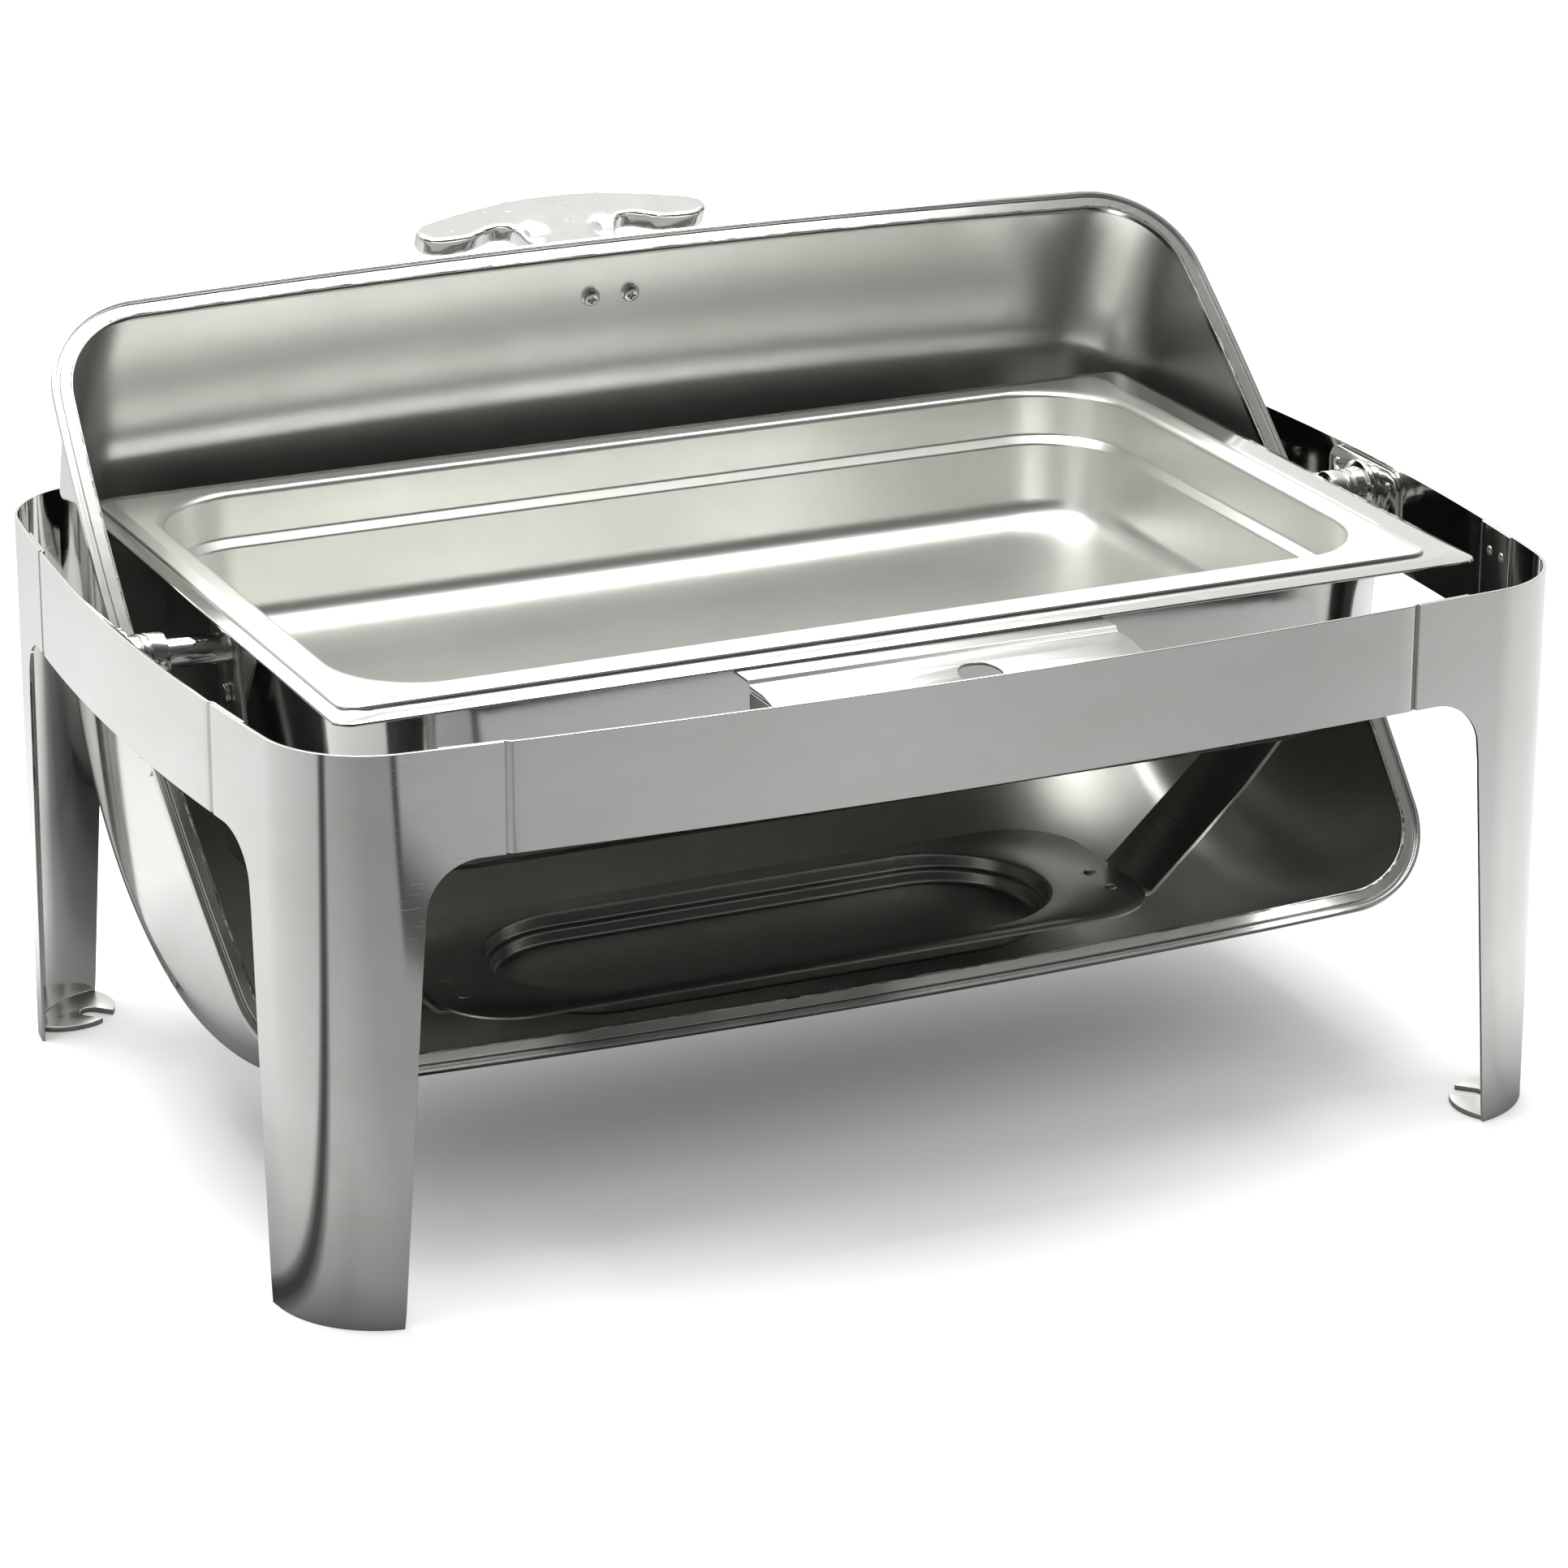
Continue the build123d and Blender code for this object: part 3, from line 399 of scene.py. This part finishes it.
mirror = polished_steel("polished_sheet")
mirror_inside = polished_steel("polished_sheet_back", 0.52, 0.13, 0.12)
lid_inside = satin_steel("lid_lining_satin", 0.66, 0.25, 0, 0.10)
rim_steel = polished_steel("lid_rim_polish", 0.60, 0.14, 0.06)
pan_satin = satin_steel("food_pan_satin", 0.80, 0.28, 0, 0.15)
dark_satin = satin_steel("shelf_satin", 0.50, 0.24, 0)
plate_satin = satin_steel("bracket_satin", 0.55, 0.24, 1)
water_polish = polished_steel("water_pan_polish", 0.66, 0.10, 0.12)
handle_cast = cast_steel("handle_casting", 0.68)
turned = cast_steel("turned_steel", 0.72, 0.06)
fastener = satin_steel("fastener_steel", 0.55, 0.20, 2, 0.15)


# ---------------------------------------------------------------- frame
frame_walk = Bowed(frame_half, frame_bow, frame_corner)


def window_edge(along, joint, top, foot):
    """Height of the sheet's lower edge at a place along a leg's flange and wing."""
    slope = math.atan2(foot - top, rail_bottom)
    reach = leg_fillet * math.tan((math.pi / 2 - slope) / 2)
    if along <= top - reach:
        return rail_bottom
    if along >= foot:
        return 0.0
    centre = (top - reach, rail_bottom - leg_fillet)
    if along < centre[0] + leg_fillet * math.cos(slope):
        return centre[1] + math.sqrt(max(0.0, leg_fillet ** 2 - (along - centre[0]) ** 2))
    return rail_bottom * (foot - along) / (foot - top)


def leg_walk():
    """Points of one leg from its front seam round the corner to its end seam, in the +X +Y corner."""
    end = math.asin(seam[1] / frame_walk.radius[0])
    side = math.asin(seam[0] / frame_walk.radius[1])
    walk = [frame_walk.side(t) for t in line_points(side, frame_walk.front_turn, 44)]
    bend = line_points(math.pi / 2 - frame_walk.front_turn, frame_walk.end_turn, 76)
    walk += [frame_walk.bend(a) for a in bend[1:]]
    return walk + [frame_walk.end(t) for t in line_points(frame_walk.end_turn, end, 44)[1:]]


def make_leg(name, sx, sy):
    """Corner sheet with a window cut under each flange, the wings narrowing to the floor."""
    top = [frame_half[i] - leg_top[i] for i in (0, 1)]
    foot = [frame_half[i] - leg_foot[i] for i in (0, 1)]
    outer, inner = [], []
    for x, y, nx, ny in leg_walk():
        low = max(window_edge(x, seam[0], top[0], foot[0]), window_edge(y, seam[1], top[1], foot[1]))
        heights = line_points(low, frame_height, 22)
        outer.append([(sx * x, sy * y, z) for z in heights])
        x, y = x - nx * frame_sheet, y - ny * frame_sheet
        inner.append([(sx * x, sy * y, z) for z in heights])
    obj = sheet_solid(f"{name}_sheet", outer, inner, [mirror])
    return install(bevel(obj, 0.35, 2, 50), name)


def make_rail(name):
    """Rail whose ends joggle inwards by one sheet and run on behind the leg flanges."""
    on_end = name in ("rail_left", "rail_right")
    axis = 0 if on_end else 1
    edge = seam[1 - axis]
    radius, centre = frame_walk.radius[axis], frame_walk.centre[axis]
    sign = 1 if name in ("rail_right", "rail_rear") else -1
    start, stop = edge - seam_gap - joggle_length, edge - seam_gap
    half = line_points(0.0, start, 30) + line_points(start, stop, 10)[1:]
    half += line_points(stop, edge + tab_length, 6)[1:]
    walk = [-s for s in reversed(half[1:])] + half
    outer, inner = [], []
    for s in walk:
        t = min(1.0, max(0.0, (abs(s) - start) / (stop - start)))
        depth = (frame_sheet + tab_play) * t * t * (3 - 2 * t)
        turn = math.asin(s / radius)
        for skin, extra in ((outer, 0.0), (inner, frame_sheet)):
            r = radius - depth - extra
            across, out = r * math.sin(turn), sign * (centre + r * math.cos(turn))
            place = (out, across) if on_end else (across, out)
            skin.append([(*place, z) for z in line_points(rail_bottom, frame_height, 4)])
    obj = sheet_solid(f"{name}_sheet", outer, inner, [mirror])
    return install(bevel(obj, 0.35, 2, 50), name)


# ---------------------------------------------------------------- lid
def roll_open(obj):
    turn = Matrix.Translation(pivot) @ Matrix.Rotation(-open_angle, 4, "X") @ Matrix.Translation(-pivot)
    obj.data.transform(turn)
    return obj


def lid_sizes():
    """Half length of the dome outside, and of the mouth inside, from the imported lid's rim."""
    low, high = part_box("lid_shell")
    rim_x = (high.x - low.x) / 2 / MM
    return rim_x - rim_width + lid_sheet + lid_end_room, rim_x - rim_width


def make_lid():
    end_x, inner_x = lid_sizes()
    inner_y = inner_x - (lid_half[0] - lid_half[1])
    radius = math.hypot(inner_y + lid_sheet, rim_rise)
    skins = []
    for inset in (0.0, lid_sheet):
        profile = Bowed((end_x, radius), lid_bow, lid_corner)
        quarter = [(x - nx * inset, y - ny * inset) for x, y, nx, ny in profile.quarter(40, 26, 26)]
        quarter = [p for p in quarter if p[1] > rim_rise + 0.05]
        section = quarter + [(-x, y) for x, y in reversed(quarter[:-1])]
        grid = []
        for x, r in section:
            first = math.asin(min(1.0, rim_rise / r))
            turns = line_points(first, math.pi - first, 130)
            grid.append([(x, r * math.cos(a), pivot.z / MM + r * math.sin(a)) for a in turns])
        skins.append(grid)
    count = min(len(g) for g in skins)
    skins = [g[(len(g) - count) // 2:(len(g) - count) // 2 + count] for g in skins]
    shell = sheet_solid("lid_dome", *skins, [mirror, lid_inside], inner_mat=1)
    roll_open(shell)
    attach(shell, "lid")
    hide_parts("lid_shell")
    base = pivot.z / MM + rim_rise
    section = [(-rim_overlap, 0.0), (groove_start, 0.0), (groove_start, groove_depth),
               (groove_start + groove_width, groove_depth), (groove_start + groove_width, 0.0),
               (rim_width, 0.0), (rim_width, rim_thickness), (-rim_overlap, rim_thickness)]
    outline = Bowed((inner_x, inner_y), lid_bow, lid_corner).loop(24, 26, 36)
    loops = [[(x + nx * out, y + ny * out, base + up) for x, y, nx, ny in outline] for out, up in section]
    rim = loop_solid("lid_rim", loops, [rim_steel], closed_section=True)
    roll_open(bevel(rim, 0.45, 3, 40))
    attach(rim, "lid")
    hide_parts("lid_shell")


grip_angle, grip_middle = math.radians(19.3), -2.0
grip_edge = [(0, 286), (20, 285.3), (46, 280.5), (64, 276), (73, 273), (76.6, 268), (75.6, 262),
             (70, 258.6), (60, 258), (50, 259.2), (42, 262.5), (35, 264.6), (29, 263), (25, 257),
             (22, 248), (18.5, 236), (17, 224), (18, 214), (22, 206), (24, 200)]   # half width, reach
grip_half_thickness, grip_foot, grip_hollow = 4.9, (25.0, 8.5, 8.0), (19.0, 256.0, 5.0, 1.8)


def smooth_line(points, steps):
    """Catmull-Rom curve through the points."""
    line, full = [], [points[0], *points, points[-1]]
    for a, b, c, d in zip(full, full[1:], full[2:], full[3:]):
        a, b, c, d = (Vector(p) for p in (a, b, c, d))
        for k in range(steps):
            t = k / steps
            line.append(0.5 * (2 * b + (c - a) * t + (2 * a - 5 * b + 4 * c - d) * t ** 2
                               + (3 * b - a - 3 * c + d) * t ** 3))
    return line + [Vector(points[-1])]


def slab(bm, outline, place, low, high):
    """Adds a flat slab with this outline to the mesh."""
    rings = [[bm.verts.new(place(x, r, t)) for x, r in outline] for t in (low, high)]
    bm.faces.new(rings[0])
    bm.faces.new(rings[1][::-1])
    count = len(outline)
    for i in range(count):
        j = (i + 1) % count
        bm.faces.new((rings[0][j], rings[0][i], rings[1][i], rings[1][j]))


def make_handle():
    """Cast grip: a bowed wing on a waisted stem, remeshed and eased until its edges are pillowed."""
    ray = Vector((0, -math.cos(grip_angle), math.sin(grip_angle)))
    up = Vector((0, -ray.z, ray.y))

    def place(x, reach, t):
        return Vector((x + grip_middle, 0, pivot.z / MM)) + ray * reach + up * t

    half = smooth_line(grip_edge, 4)
    outline = [tuple(p) for p in half] + [(-p.x, p.y) for p in reversed(half[1:])]
    bm = bmesh.new()
    slab(bm, outline, place, -grip_half_thickness, grip_half_thickness)
    foot_x, foot_t, foot_h = grip_foot
    ring = [(x, t) for x, t, _, _ in rounded_ring(foot_x, foot_t, 6.0, (0, 0), 0)]
    slab(bm, ring, lambda x, t, h: place(x, 203.0 + h, t), -3.0, foot_h)
    mesh = bpy.data.meshes.new("grip")
    bm.to_mesh(mesh)
    bm.free()
    mesh.transform(Matrix.Scale(MM, 4))
    obj = finish_mesh("handle_cast", mesh, [handle_cast])
    mod = obj.modifiers.new("fine", "REMESH")
    mod.mode, mod.voxel_size, mod.use_smooth_shade = "VOXEL", 0.9 * MM, True
    ease = obj.modifiers.new("ease", "SMOOTH")
    ease.factor, ease.iterations = 0.5, 16
    cast = bpy.data.meshes.new_from_object(obj.evaluated_get(bpy.context.evaluated_depsgraph_get()))
    obj.modifiers.clear()
    obj.data = cast
    x0, r0, width, depth = grip_hollow
    for v in cast.vertices:
        rel = v.co / MM - Vector((grip_middle, 0, pivot.z / MM))
        reach, t = rel.dot(ray), rel.dot(up)
        near = sum(math.exp(-((rel.x - side * x0) ** 2 + (reach - r0) ** 2) / width ** 2)
                   for side in (-1, 1))
        v.co -= up * (math.copysign(min(1.0, abs(t)) * depth * near, t) * MM)
        radius = math.hypot(rel.y, rel.z)
        if radius < 202.7:
            v.co += Vector((0, rel.y, rel.z)) * ((202.7 - radius) / radius * MM)
    cast.polygons.foreach_set("use_smooth", [True] * len(cast.polygons))
    roll_open(obj)
    return install(obj, "handle")


# ---------------------------------------------------------------- pans
def pan_solid(name, path, outline, sheet, mat, lift=None):
    """Pressed pan: a section walked from its floor out to its rim's edge and back one sheet away."""
    back = parallel_path(path, -sheet)
    loops = []
    for offset, z in list(path) + list(reversed(back)):
        ring = rounded_ring(*outline(offset), z)
        loops.append([(x, y, h + (lift(offset, w) if lift else 0.0)) for x, y, h, w in ring])
    return loop_solid(name, loops, [mat])


def node_middle(node):
    low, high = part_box(node)
    half = [(high[i] - low[i]) / 2 / MM for i in (0, 1)]
    return half, [(high[i] + low[i]) / 2 / MM for i in (0, 1)], low.z / MM, high.z / MM


def rim_lift(start, stop):
    """Where two turned-down margins meet, the metal is pinched up into a small ridge."""
    def lift(offset, weight):
        t = max(0.0, 1 - abs(offset - (start + stop) / 2) / ((stop - start) / 2))
        return ridge_height * weight * t
    return lift


def rim_points(width, top):
    """Flat rim, the margin that slopes down from it and its upright edge."""
    return [(width - margin_width, top), (width - edge_turn, top - margin_fall),
            (width, top - margin_fall - edge_drop)]


def make_food_pan():
    """Deep pan with a stacking step under its mouth."""
    half, centre, bottom, top = node_middle("food_pan")
    mouth = [h - pan_rim for h in half]
    ledge = pan_step_drop + pan_step
    lean = math.tan(math.radians(pan_lean)) * (top - bottom - ledge)
    floor = bottom + pan_sheet
    wall = -pan_taper - pan_step
    points = [(floor_start, floor), (wall - lean, floor), (wall, top - ledge),
              (-pan_taper, top - pan_step_drop), (0.0, top), *rim_points(pan_rim, top)]
    path = rounded_path(points, [13.0, 2.2, 2.2, 3.4, 3.0, 0.6])

    def outline(offset):
        radius = pan_corner + offset
        if offset > 0:
            radius = pan_corner - (pan_corner - rim_corner) * offset / pan_rim
        return mouth[0] + offset, mouth[1] + offset, max(radius, 3.0), centre

    obj = pan_solid("food_pan_pressing", path, outline, pan_sheet, pan_satin,
                    rim_lift(pan_rim - margin_width - 1.0, pan_rim + 0.5))
    return install(obj, "food_pan")


def make_water_pan():
    """Deeper pan whose rim rests on the brackets and carries the food pan."""
    half, centre, bottom, top = node_middle("water_pan")
    mouth = [h - water_rim for h in half]
    lean = math.tan(math.radians(water_lean)) * (top - bottom)
    floor = bottom + water_sheet
    points = [(floor_start, floor), (-lean, floor), (0.0, top), *rim_points(water_rim, top)]
    path = rounded_path(points, [19.0, 3.0, 2.4, 0.6])

    def outline(offset):
        radius = water_corner + offset
        if offset > 0:
            radius = water_corner - (water_corner - rim_corner) * offset / water_rim
        return mouth[0] + offset, mouth[1] + offset, max(radius, 3.0), centre

    obj = pan_solid("water_pan_pressing", path, outline, water_sheet, water_polish,
                    rim_lift(water_rim - margin_width - 1.0, water_rim + 0.5))
    return install(obj, "water_pan")


def make_shelf():
    """Fuel shelf: a rounded plate pressed down in two steps to a recess with round ends."""
    half, centre, bottom, top = node_middle("fuel_shelf")
    recess_corner = recess_half[1]
    run = half[0] - recess_half[0]
    points = [(-40.0, top - recess_drop), (-ledge_width - shelf_taper, top - recess_drop),
              (-ledge_width, top - ledge_drop), (-shelf_taper, top - ledge_drop), (0.0, top),
              (run - shelf_edge, top), (run, top - shelf_edge)]
    path = rounded_path(points, [2.0, 1.6, 1.6, 1.8, 0.0])

    def outline(offset):
        if offset <= 0:
            return recess_half[0] + offset, recess_half[1] + offset, recess_corner + offset - 0.01, centre
        t = offset / run
        return (recess_half[0] + offset, recess_half[1] + (half[1] - recess_half[1]) * t,
                recess_corner + (shelf_corner - recess_corner) * t, centre)

    obj = pan_solid("fuel_shelf_pressing", path, outline, shelf_sheet, dark_satin)
    return install(obj, "fuel_shelf")


# ---------------------------------------------------------------- pivots and fasteners
def make_pivots():
    """Pivots, lid ears, pan brackets and shelf straps, each finished from its own solid."""
    for side in sides:
        for node in ("pivot_boss", "pivot_collar"):
            copy_of(f"{node}_{side}", turned, 0.5, 3)
        copy_of(f"axle_tube_{side}", turned, 0.3)
        copy_of(f"pivot_washers_{side}", fastener, 0.2)
        copy_of(f"pivot_plate_{side}", mirror_inside, 0.3)
        copy_of(f"lid_ear_{side}", turned, 0.4, 3)
        copy_of(f"pan_bracket_{side}", plate_satin, 0.3)
        copy_of(f"shelf_strap_{side}", plate_satin, 0.3)
        copy_of(f"strap_bolt_{side}", fastener, 0.5, 3)


def islands(node):
    """Lowest and highest corner of each separate solid in a node."""
    bm = bmesh.new()
    bm.from_mesh(nodes[node].data)
    bmesh.ops.remove_doubles(bm, verts=bm.verts, dist=2e-6)
    left, boxes = set(bm.verts), []
    while left:
        queue, found = [left.pop()], []
        while queue:
            v = queue.pop()
            found.append(v.co.copy())
            for e in v.link_edges:
                w = e.other_vert(v)
                if w in left:
                    left.remove(w)
                    queue.append(w)
        boxes.append([Vector([f(c[i] for c in found) for i in range(3)]) for f in (min, max)])
    bm.free()
    return boxes


def head_tree():
    """Geometry nodes that put a domed head on every point, turned along the point's own direction."""
    tree = bpy.data.node_groups.new("domed_heads", "GeometryNodeTree")
    face = tree.interface
    face.new_socket("Geometry", in_out="INPUT", socket_type="NodeSocketGeometry")
    for name in ("Head radius", "Head height"):
        face.new_socket(name, in_out="INPUT", socket_type="NodeSocketFloat")
    face.new_socket("Material", in_out="INPUT", socket_type="NodeSocketMaterial")
    face.new_socket("Geometry", in_out="OUTPUT", socket_type="NodeSocketGeometry")
    make, link = tree.nodes.new, tree.links.new
    given, result = make("NodeGroupInput"), make("NodeGroupOutput")
    ball = make("GeometryNodeMeshUVSphere")
    ball.inputs["Segments"].default_value, ball.inputs["Rings"].default_value = 24, 12
    ball.inputs["Radius"].default_value = 1.0
    shape = make("ShaderNodeCombineXYZ")
    link(given.outputs["Head radius"], shape.inputs[0])
    link(given.outputs["Head radius"], shape.inputs[1])
    link(given.outputs["Head height"], shape.inputs[2])
    way = make("GeometryNodeInputNamedAttribute")
    way.data_type = "FLOAT_VECTOR"
    way.inputs["Name"].default_value = "way"
    turn = make("FunctionNodeAlignRotationToVector")
    turn.axis = "Z"
    link(way.outputs[0], turn.inputs["Vector"])
    place = make("GeometryNodeInstanceOnPoints")
    link(given.outputs["Geometry"], place.inputs["Points"])
    link(ball.outputs["Mesh"], place.inputs["Instance"])
    link(turn.outputs[0], place.inputs["Rotation"])
    link(shape.outputs[0], place.inputs["Scale"])
    solid, paint = make("GeometryNodeRealizeInstances"), make("GeometryNodeSetMaterial")
    shade = make("GeometryNodeSetShadeSmooth")
    link(place.outputs[0], solid.inputs[0])
    link(solid.outputs[0], shade.inputs[0])
    link(shade.outputs[0], paint.inputs["Geometry"])
    link(given.outputs["Material"], paint.inputs["Material"])
    link(paint.outputs[0], result.inputs[0])
    return tree


def domed_heads(node, tree, radius, height, ways):
    """Domed heads at the ends of a node's studs; ways are -1 towards the middle and 1 away from it."""
    points, aims = [], []
    for low, high in islands(node):
        size, middle = high - low, (low + high) / 2
        axis = min(range(3), key=lambda i: size[i])
        outward = 1.0 if middle[axis] - (pivot[axis] if axis == 2 else 0.0) > 0 else -1.0
        for way in ways:
            aim = Vector((0, 0, 0))
            aim[axis] = way * outward
            end = (high if aim[axis] > 0 else low)[axis]
            place = middle.copy()
            place[axis] = end - aim[axis] * height * MM
            points.append(place)
            aims.append(aim)
    mesh = bpy.data.meshes.new(f"{node}_heads")
    mesh.from_pydata(points, [], [])
    way = mesh.attributes.new("way", "FLOAT_VECTOR", "POINT")
    way.data.foreach_set("vector", [c for a in aims for c in a])
    obj = bpy.data.objects.new(f"{node}_heads", mesh)
    bpy.context.scene.collection.objects.link(obj)
    mod = obj.modifiers.new("heads", "NODES")
    mod.node_group = tree
    values = {"Head radius": radius * MM, "Head height": height * MM, "Material": fastener}
    for item in tree.interface.items_tree:
        if item.in_out == "INPUT" and item.name in values:
            mod[item.identifier] = values[item.name]
    made = bpy.data.meshes.new_from_object(obj.evaluated_get(bpy.context.evaluated_depsgraph_get()))
    obj.modifiers.clear()
    obj.data = made
    return install(obj, node)


# ---------------------------------------------------------------- the room
def make_camera():
    camera = bpy.data.objects.new("camera", bpy.data.cameras.new("camera"))
    bpy.context.scene.collection.objects.link(camera)
    camera.location = (-1.0445, -2.2629, 1.0412)
    camera.rotation_euler = (math.radians(90 - 19.912), math.radians(-0.13), math.radians(-24.884))
    camera.data.lens, camera.data.sensor_width = 129.3, 36.0
    bpy.context.scene.camera = camera


def area_light(name, place, aim, size, power):
    data = bpy.data.lights.new(name, "AREA")
    data.shape, data.size, data.size_y, data.energy = "RECTANGLE", size[0], size[1], power
    lamp = bpy.data.objects.new(name, data)
    bpy.context.scene.collection.objects.link(lamp)
    lamp.location = place
    lamp.rotation_euler = (Vector(aim) - Vector(place)).to_track_quat("-Z", "Y").to_euler()


sweep_shades = [(0.0, 0.10), (0.40, 0.07), (0.50, 0.16), (0.58, 0.40), (0.70, 0.95), (0.85, 1.1)]


def make_world():
    """White sweep behind and above the dish, dim towards the front where the camera stands."""
    world = bpy.data.worlds.new("studio")
    bpy.context.scene.world = world
    world.use_nodes = True
    nt = world.node_tree
    nt.nodes.clear()
    make, link = nt.nodes.new, nt.links.new
    out, mix = make("ShaderNodeOutputWorld"), make("ShaderNodeMixShader")
    seen, lit = make("ShaderNodeBackground"), make("ShaderNodeBackground")
    seen.inputs[0].default_value, seen.inputs[1].default_value = (1, 1, 1, 1), 1.0
    path, place = make("ShaderNodeLightPath"), make("ShaderNodeTexCoord")
    lean, ramp = make("ShaderNodeVectorMath"), make("ShaderNodeValToRGB")
    lean.operation = "DOT_PRODUCT"
    lean.inputs[1].default_value = (-0.05, 0.34, 0.20)
    link(place.outputs["Generated"], lean.inputs[0])
    shift = make("ShaderNodeMath")
    shift.operation = "ADD"
    shift.inputs[1].default_value = 0.5
    link(lean.outputs["Value"], shift.inputs[0])
    link(shift.outputs[0], ramp.inputs[0])
    while len(ramp.color_ramp.elements) < len(sweep_shades):
        ramp.color_ramp.elements.new(1.0)
    for stop, (at, shade) in zip(ramp.color_ramp.elements, sweep_shades):
        stop.position, stop.color = at, (shade, shade, shade * 0.975, 1)
    link(ramp.outputs[0], lit.inputs[0])
    link(path.outputs["Is Glossy Ray"], mix.inputs[0])
    link(seen.outputs[0], mix.inputs[1])
    link(lit.outputs[0], mix.inputs[2])
    link(mix.outputs[0], out.inputs[0])


# Painted reflection: grey and near-black bands laid on the floor by turn about +Z, seen only by polished
# metal, in place of real set cards.
painted_reflection_bands = [(0.02, 0.55), (0.10, 0.78), (0.24, 0.60), (0.312, 0.50), (0.318, 0.03), (0.326, 0.03),
               (0.332, 0.40), (0.40, 0.30), (0.452, 0.30), (0.458, 0.05), (0.464, 0.05), (0.472, 0.40),
               (0.54, 0.50), (0.60, 0.44), (0.66, 0.72), (0.78, 0.82), (0.9, 0.6)]  # by turn about +Z
# Painted contact shadow: the floor as polished metal sees it grows darker towards the dish, by distance
# from it.
painted_contact_shadow = [(0.0, 0.30), (0.10, 0.58), (0.26, 0.76), (0.7, 0.66), (1.0, 0.62)]   # by distance


def floor_material():
    """Pale floor as the camera sees it; polished metal sees painted reflections on it instead: grey and
    near-black bands standing in for grey cards, and a painted contact shadow towards the dish.
    """
    t = Tree("pale_floor_painted_reflections")
    x, y, _ = t.node("ShaderNodeSeparateXYZ", None, {0: t.node("ShaderNodeTexCoord")[3]})
    turn = t.node("ShaderNodeMath", {"operation": "ARCTAN2"}, {0: x, 1: y * -1.0})[0]
    # painted reflection bands, by turn about +Z round the dish
    painted_bands = t.ramp(turn * (0.5 / math.pi) + 0.5, painted_reflection_bands)
    side = [t.node("ShaderNodeMath", {"operation": "ABSOLUTE"}, {0: v})[0] - limit
            for v, limit in ((x, 0.30), (y, 0.20))]
    apart = t.node("ShaderNodeMath", {"operation": "MAXIMUM"}, {0: side[0], 1: side[1]})[0]
    # painted contact shadow, darkest next to the dish
    near = t.ramp(apart * 2.0, painted_contact_shadow)
    # painted reflection bands multiplied by the painted contact shadow
    shade = t.node("ShaderNodeMix", {"data_type": "RGBA", "blend_type": "MULTIPLY"},
                   {0: 1.0, 6: painted_bands, 7: near})[2]
    # only glossy rays see the painted reflection and painted shadow; the camera and diffuse light see the
    # plain pale floor
    glossy = t.node("ShaderNodeLightPath")[3]
    colour = t.node("ShaderNodeMix", {"data_type": "RGBA"},
                    {0: glossy, 6: (0.93, 0.93, 0.93, 1), 7: shade})[2]
    shader = t.node("ShaderNodeBsdfPrincipled", None, {"Base Color": colour, "Roughness": 0.9})[0]
    t.node("ShaderNodeOutputMaterial", None, {"Surface": shader})
    return t.mat


def make_room():
    make_world()
    floor = bpy.data.meshes.new("floor")
    floor.from_pydata([(-6, -6, 0), (6, -6, 0), (6, 6, 0), (-6, 6, 0)], [], [(0, 1, 2, 3)])
    table = bpy.data.objects.new("floor", floor)
    bpy.context.scene.collection.objects.link(table)
    floor.materials.append(floor_material())
    area_light("overhead", (-0.1, 0.32, 2.2), (-0.1, 0.2, 0.2), (2.3, 1.3), 62)
    area_light("behind", (0.2, 2.2, 1.8), (0, 0, 0.2), (2.6, 1.2), 20)
    area_light("left", (-2.4, -0.8, 1.2), (0, 0, 0.1), (0.8, 1.6), 4)
    area_light("right", (2.4, -0.6, 1.0), (0, 0, 0.1), (0.7, 1.6), 3)
    bpy.context.scene.view_settings.view_transform = "Standard"


# ---------------------------------------------------------------- the whole dish
make_camera()
make_room()
for corner, signs in corners.items():
    make_leg(f"leg_{corner}", *signs)
    copy_of(f"foot_plate_{corner}", plate_satin, 0.4, 3)
for rail in ("front", "rear", "left", "right"):
    make_rail(f"rail_{rail}")
make_lid()
make_handle()
make_food_pan()
make_water_pan()
make_shelf()
make_pivots()
copy_of("front_bridge", plate_satin, 0.4)
copy_of("handle_screws", fastener, 0.3)
copy_of("handle_washers", fastener, 0.15)
heads = head_tree()
domed_heads("frame_studs", heads, *stud_head, (-1,))
for side in sides:
    domed_heads(f"pivot_studs_{side}", heads, *stud_head, (-1,))
domed_heads("shelf_rivets", heads, *rivet_head, (-1, 1))
domed_heads("ear_rivets", heads, *stud_head, (-1, 1))
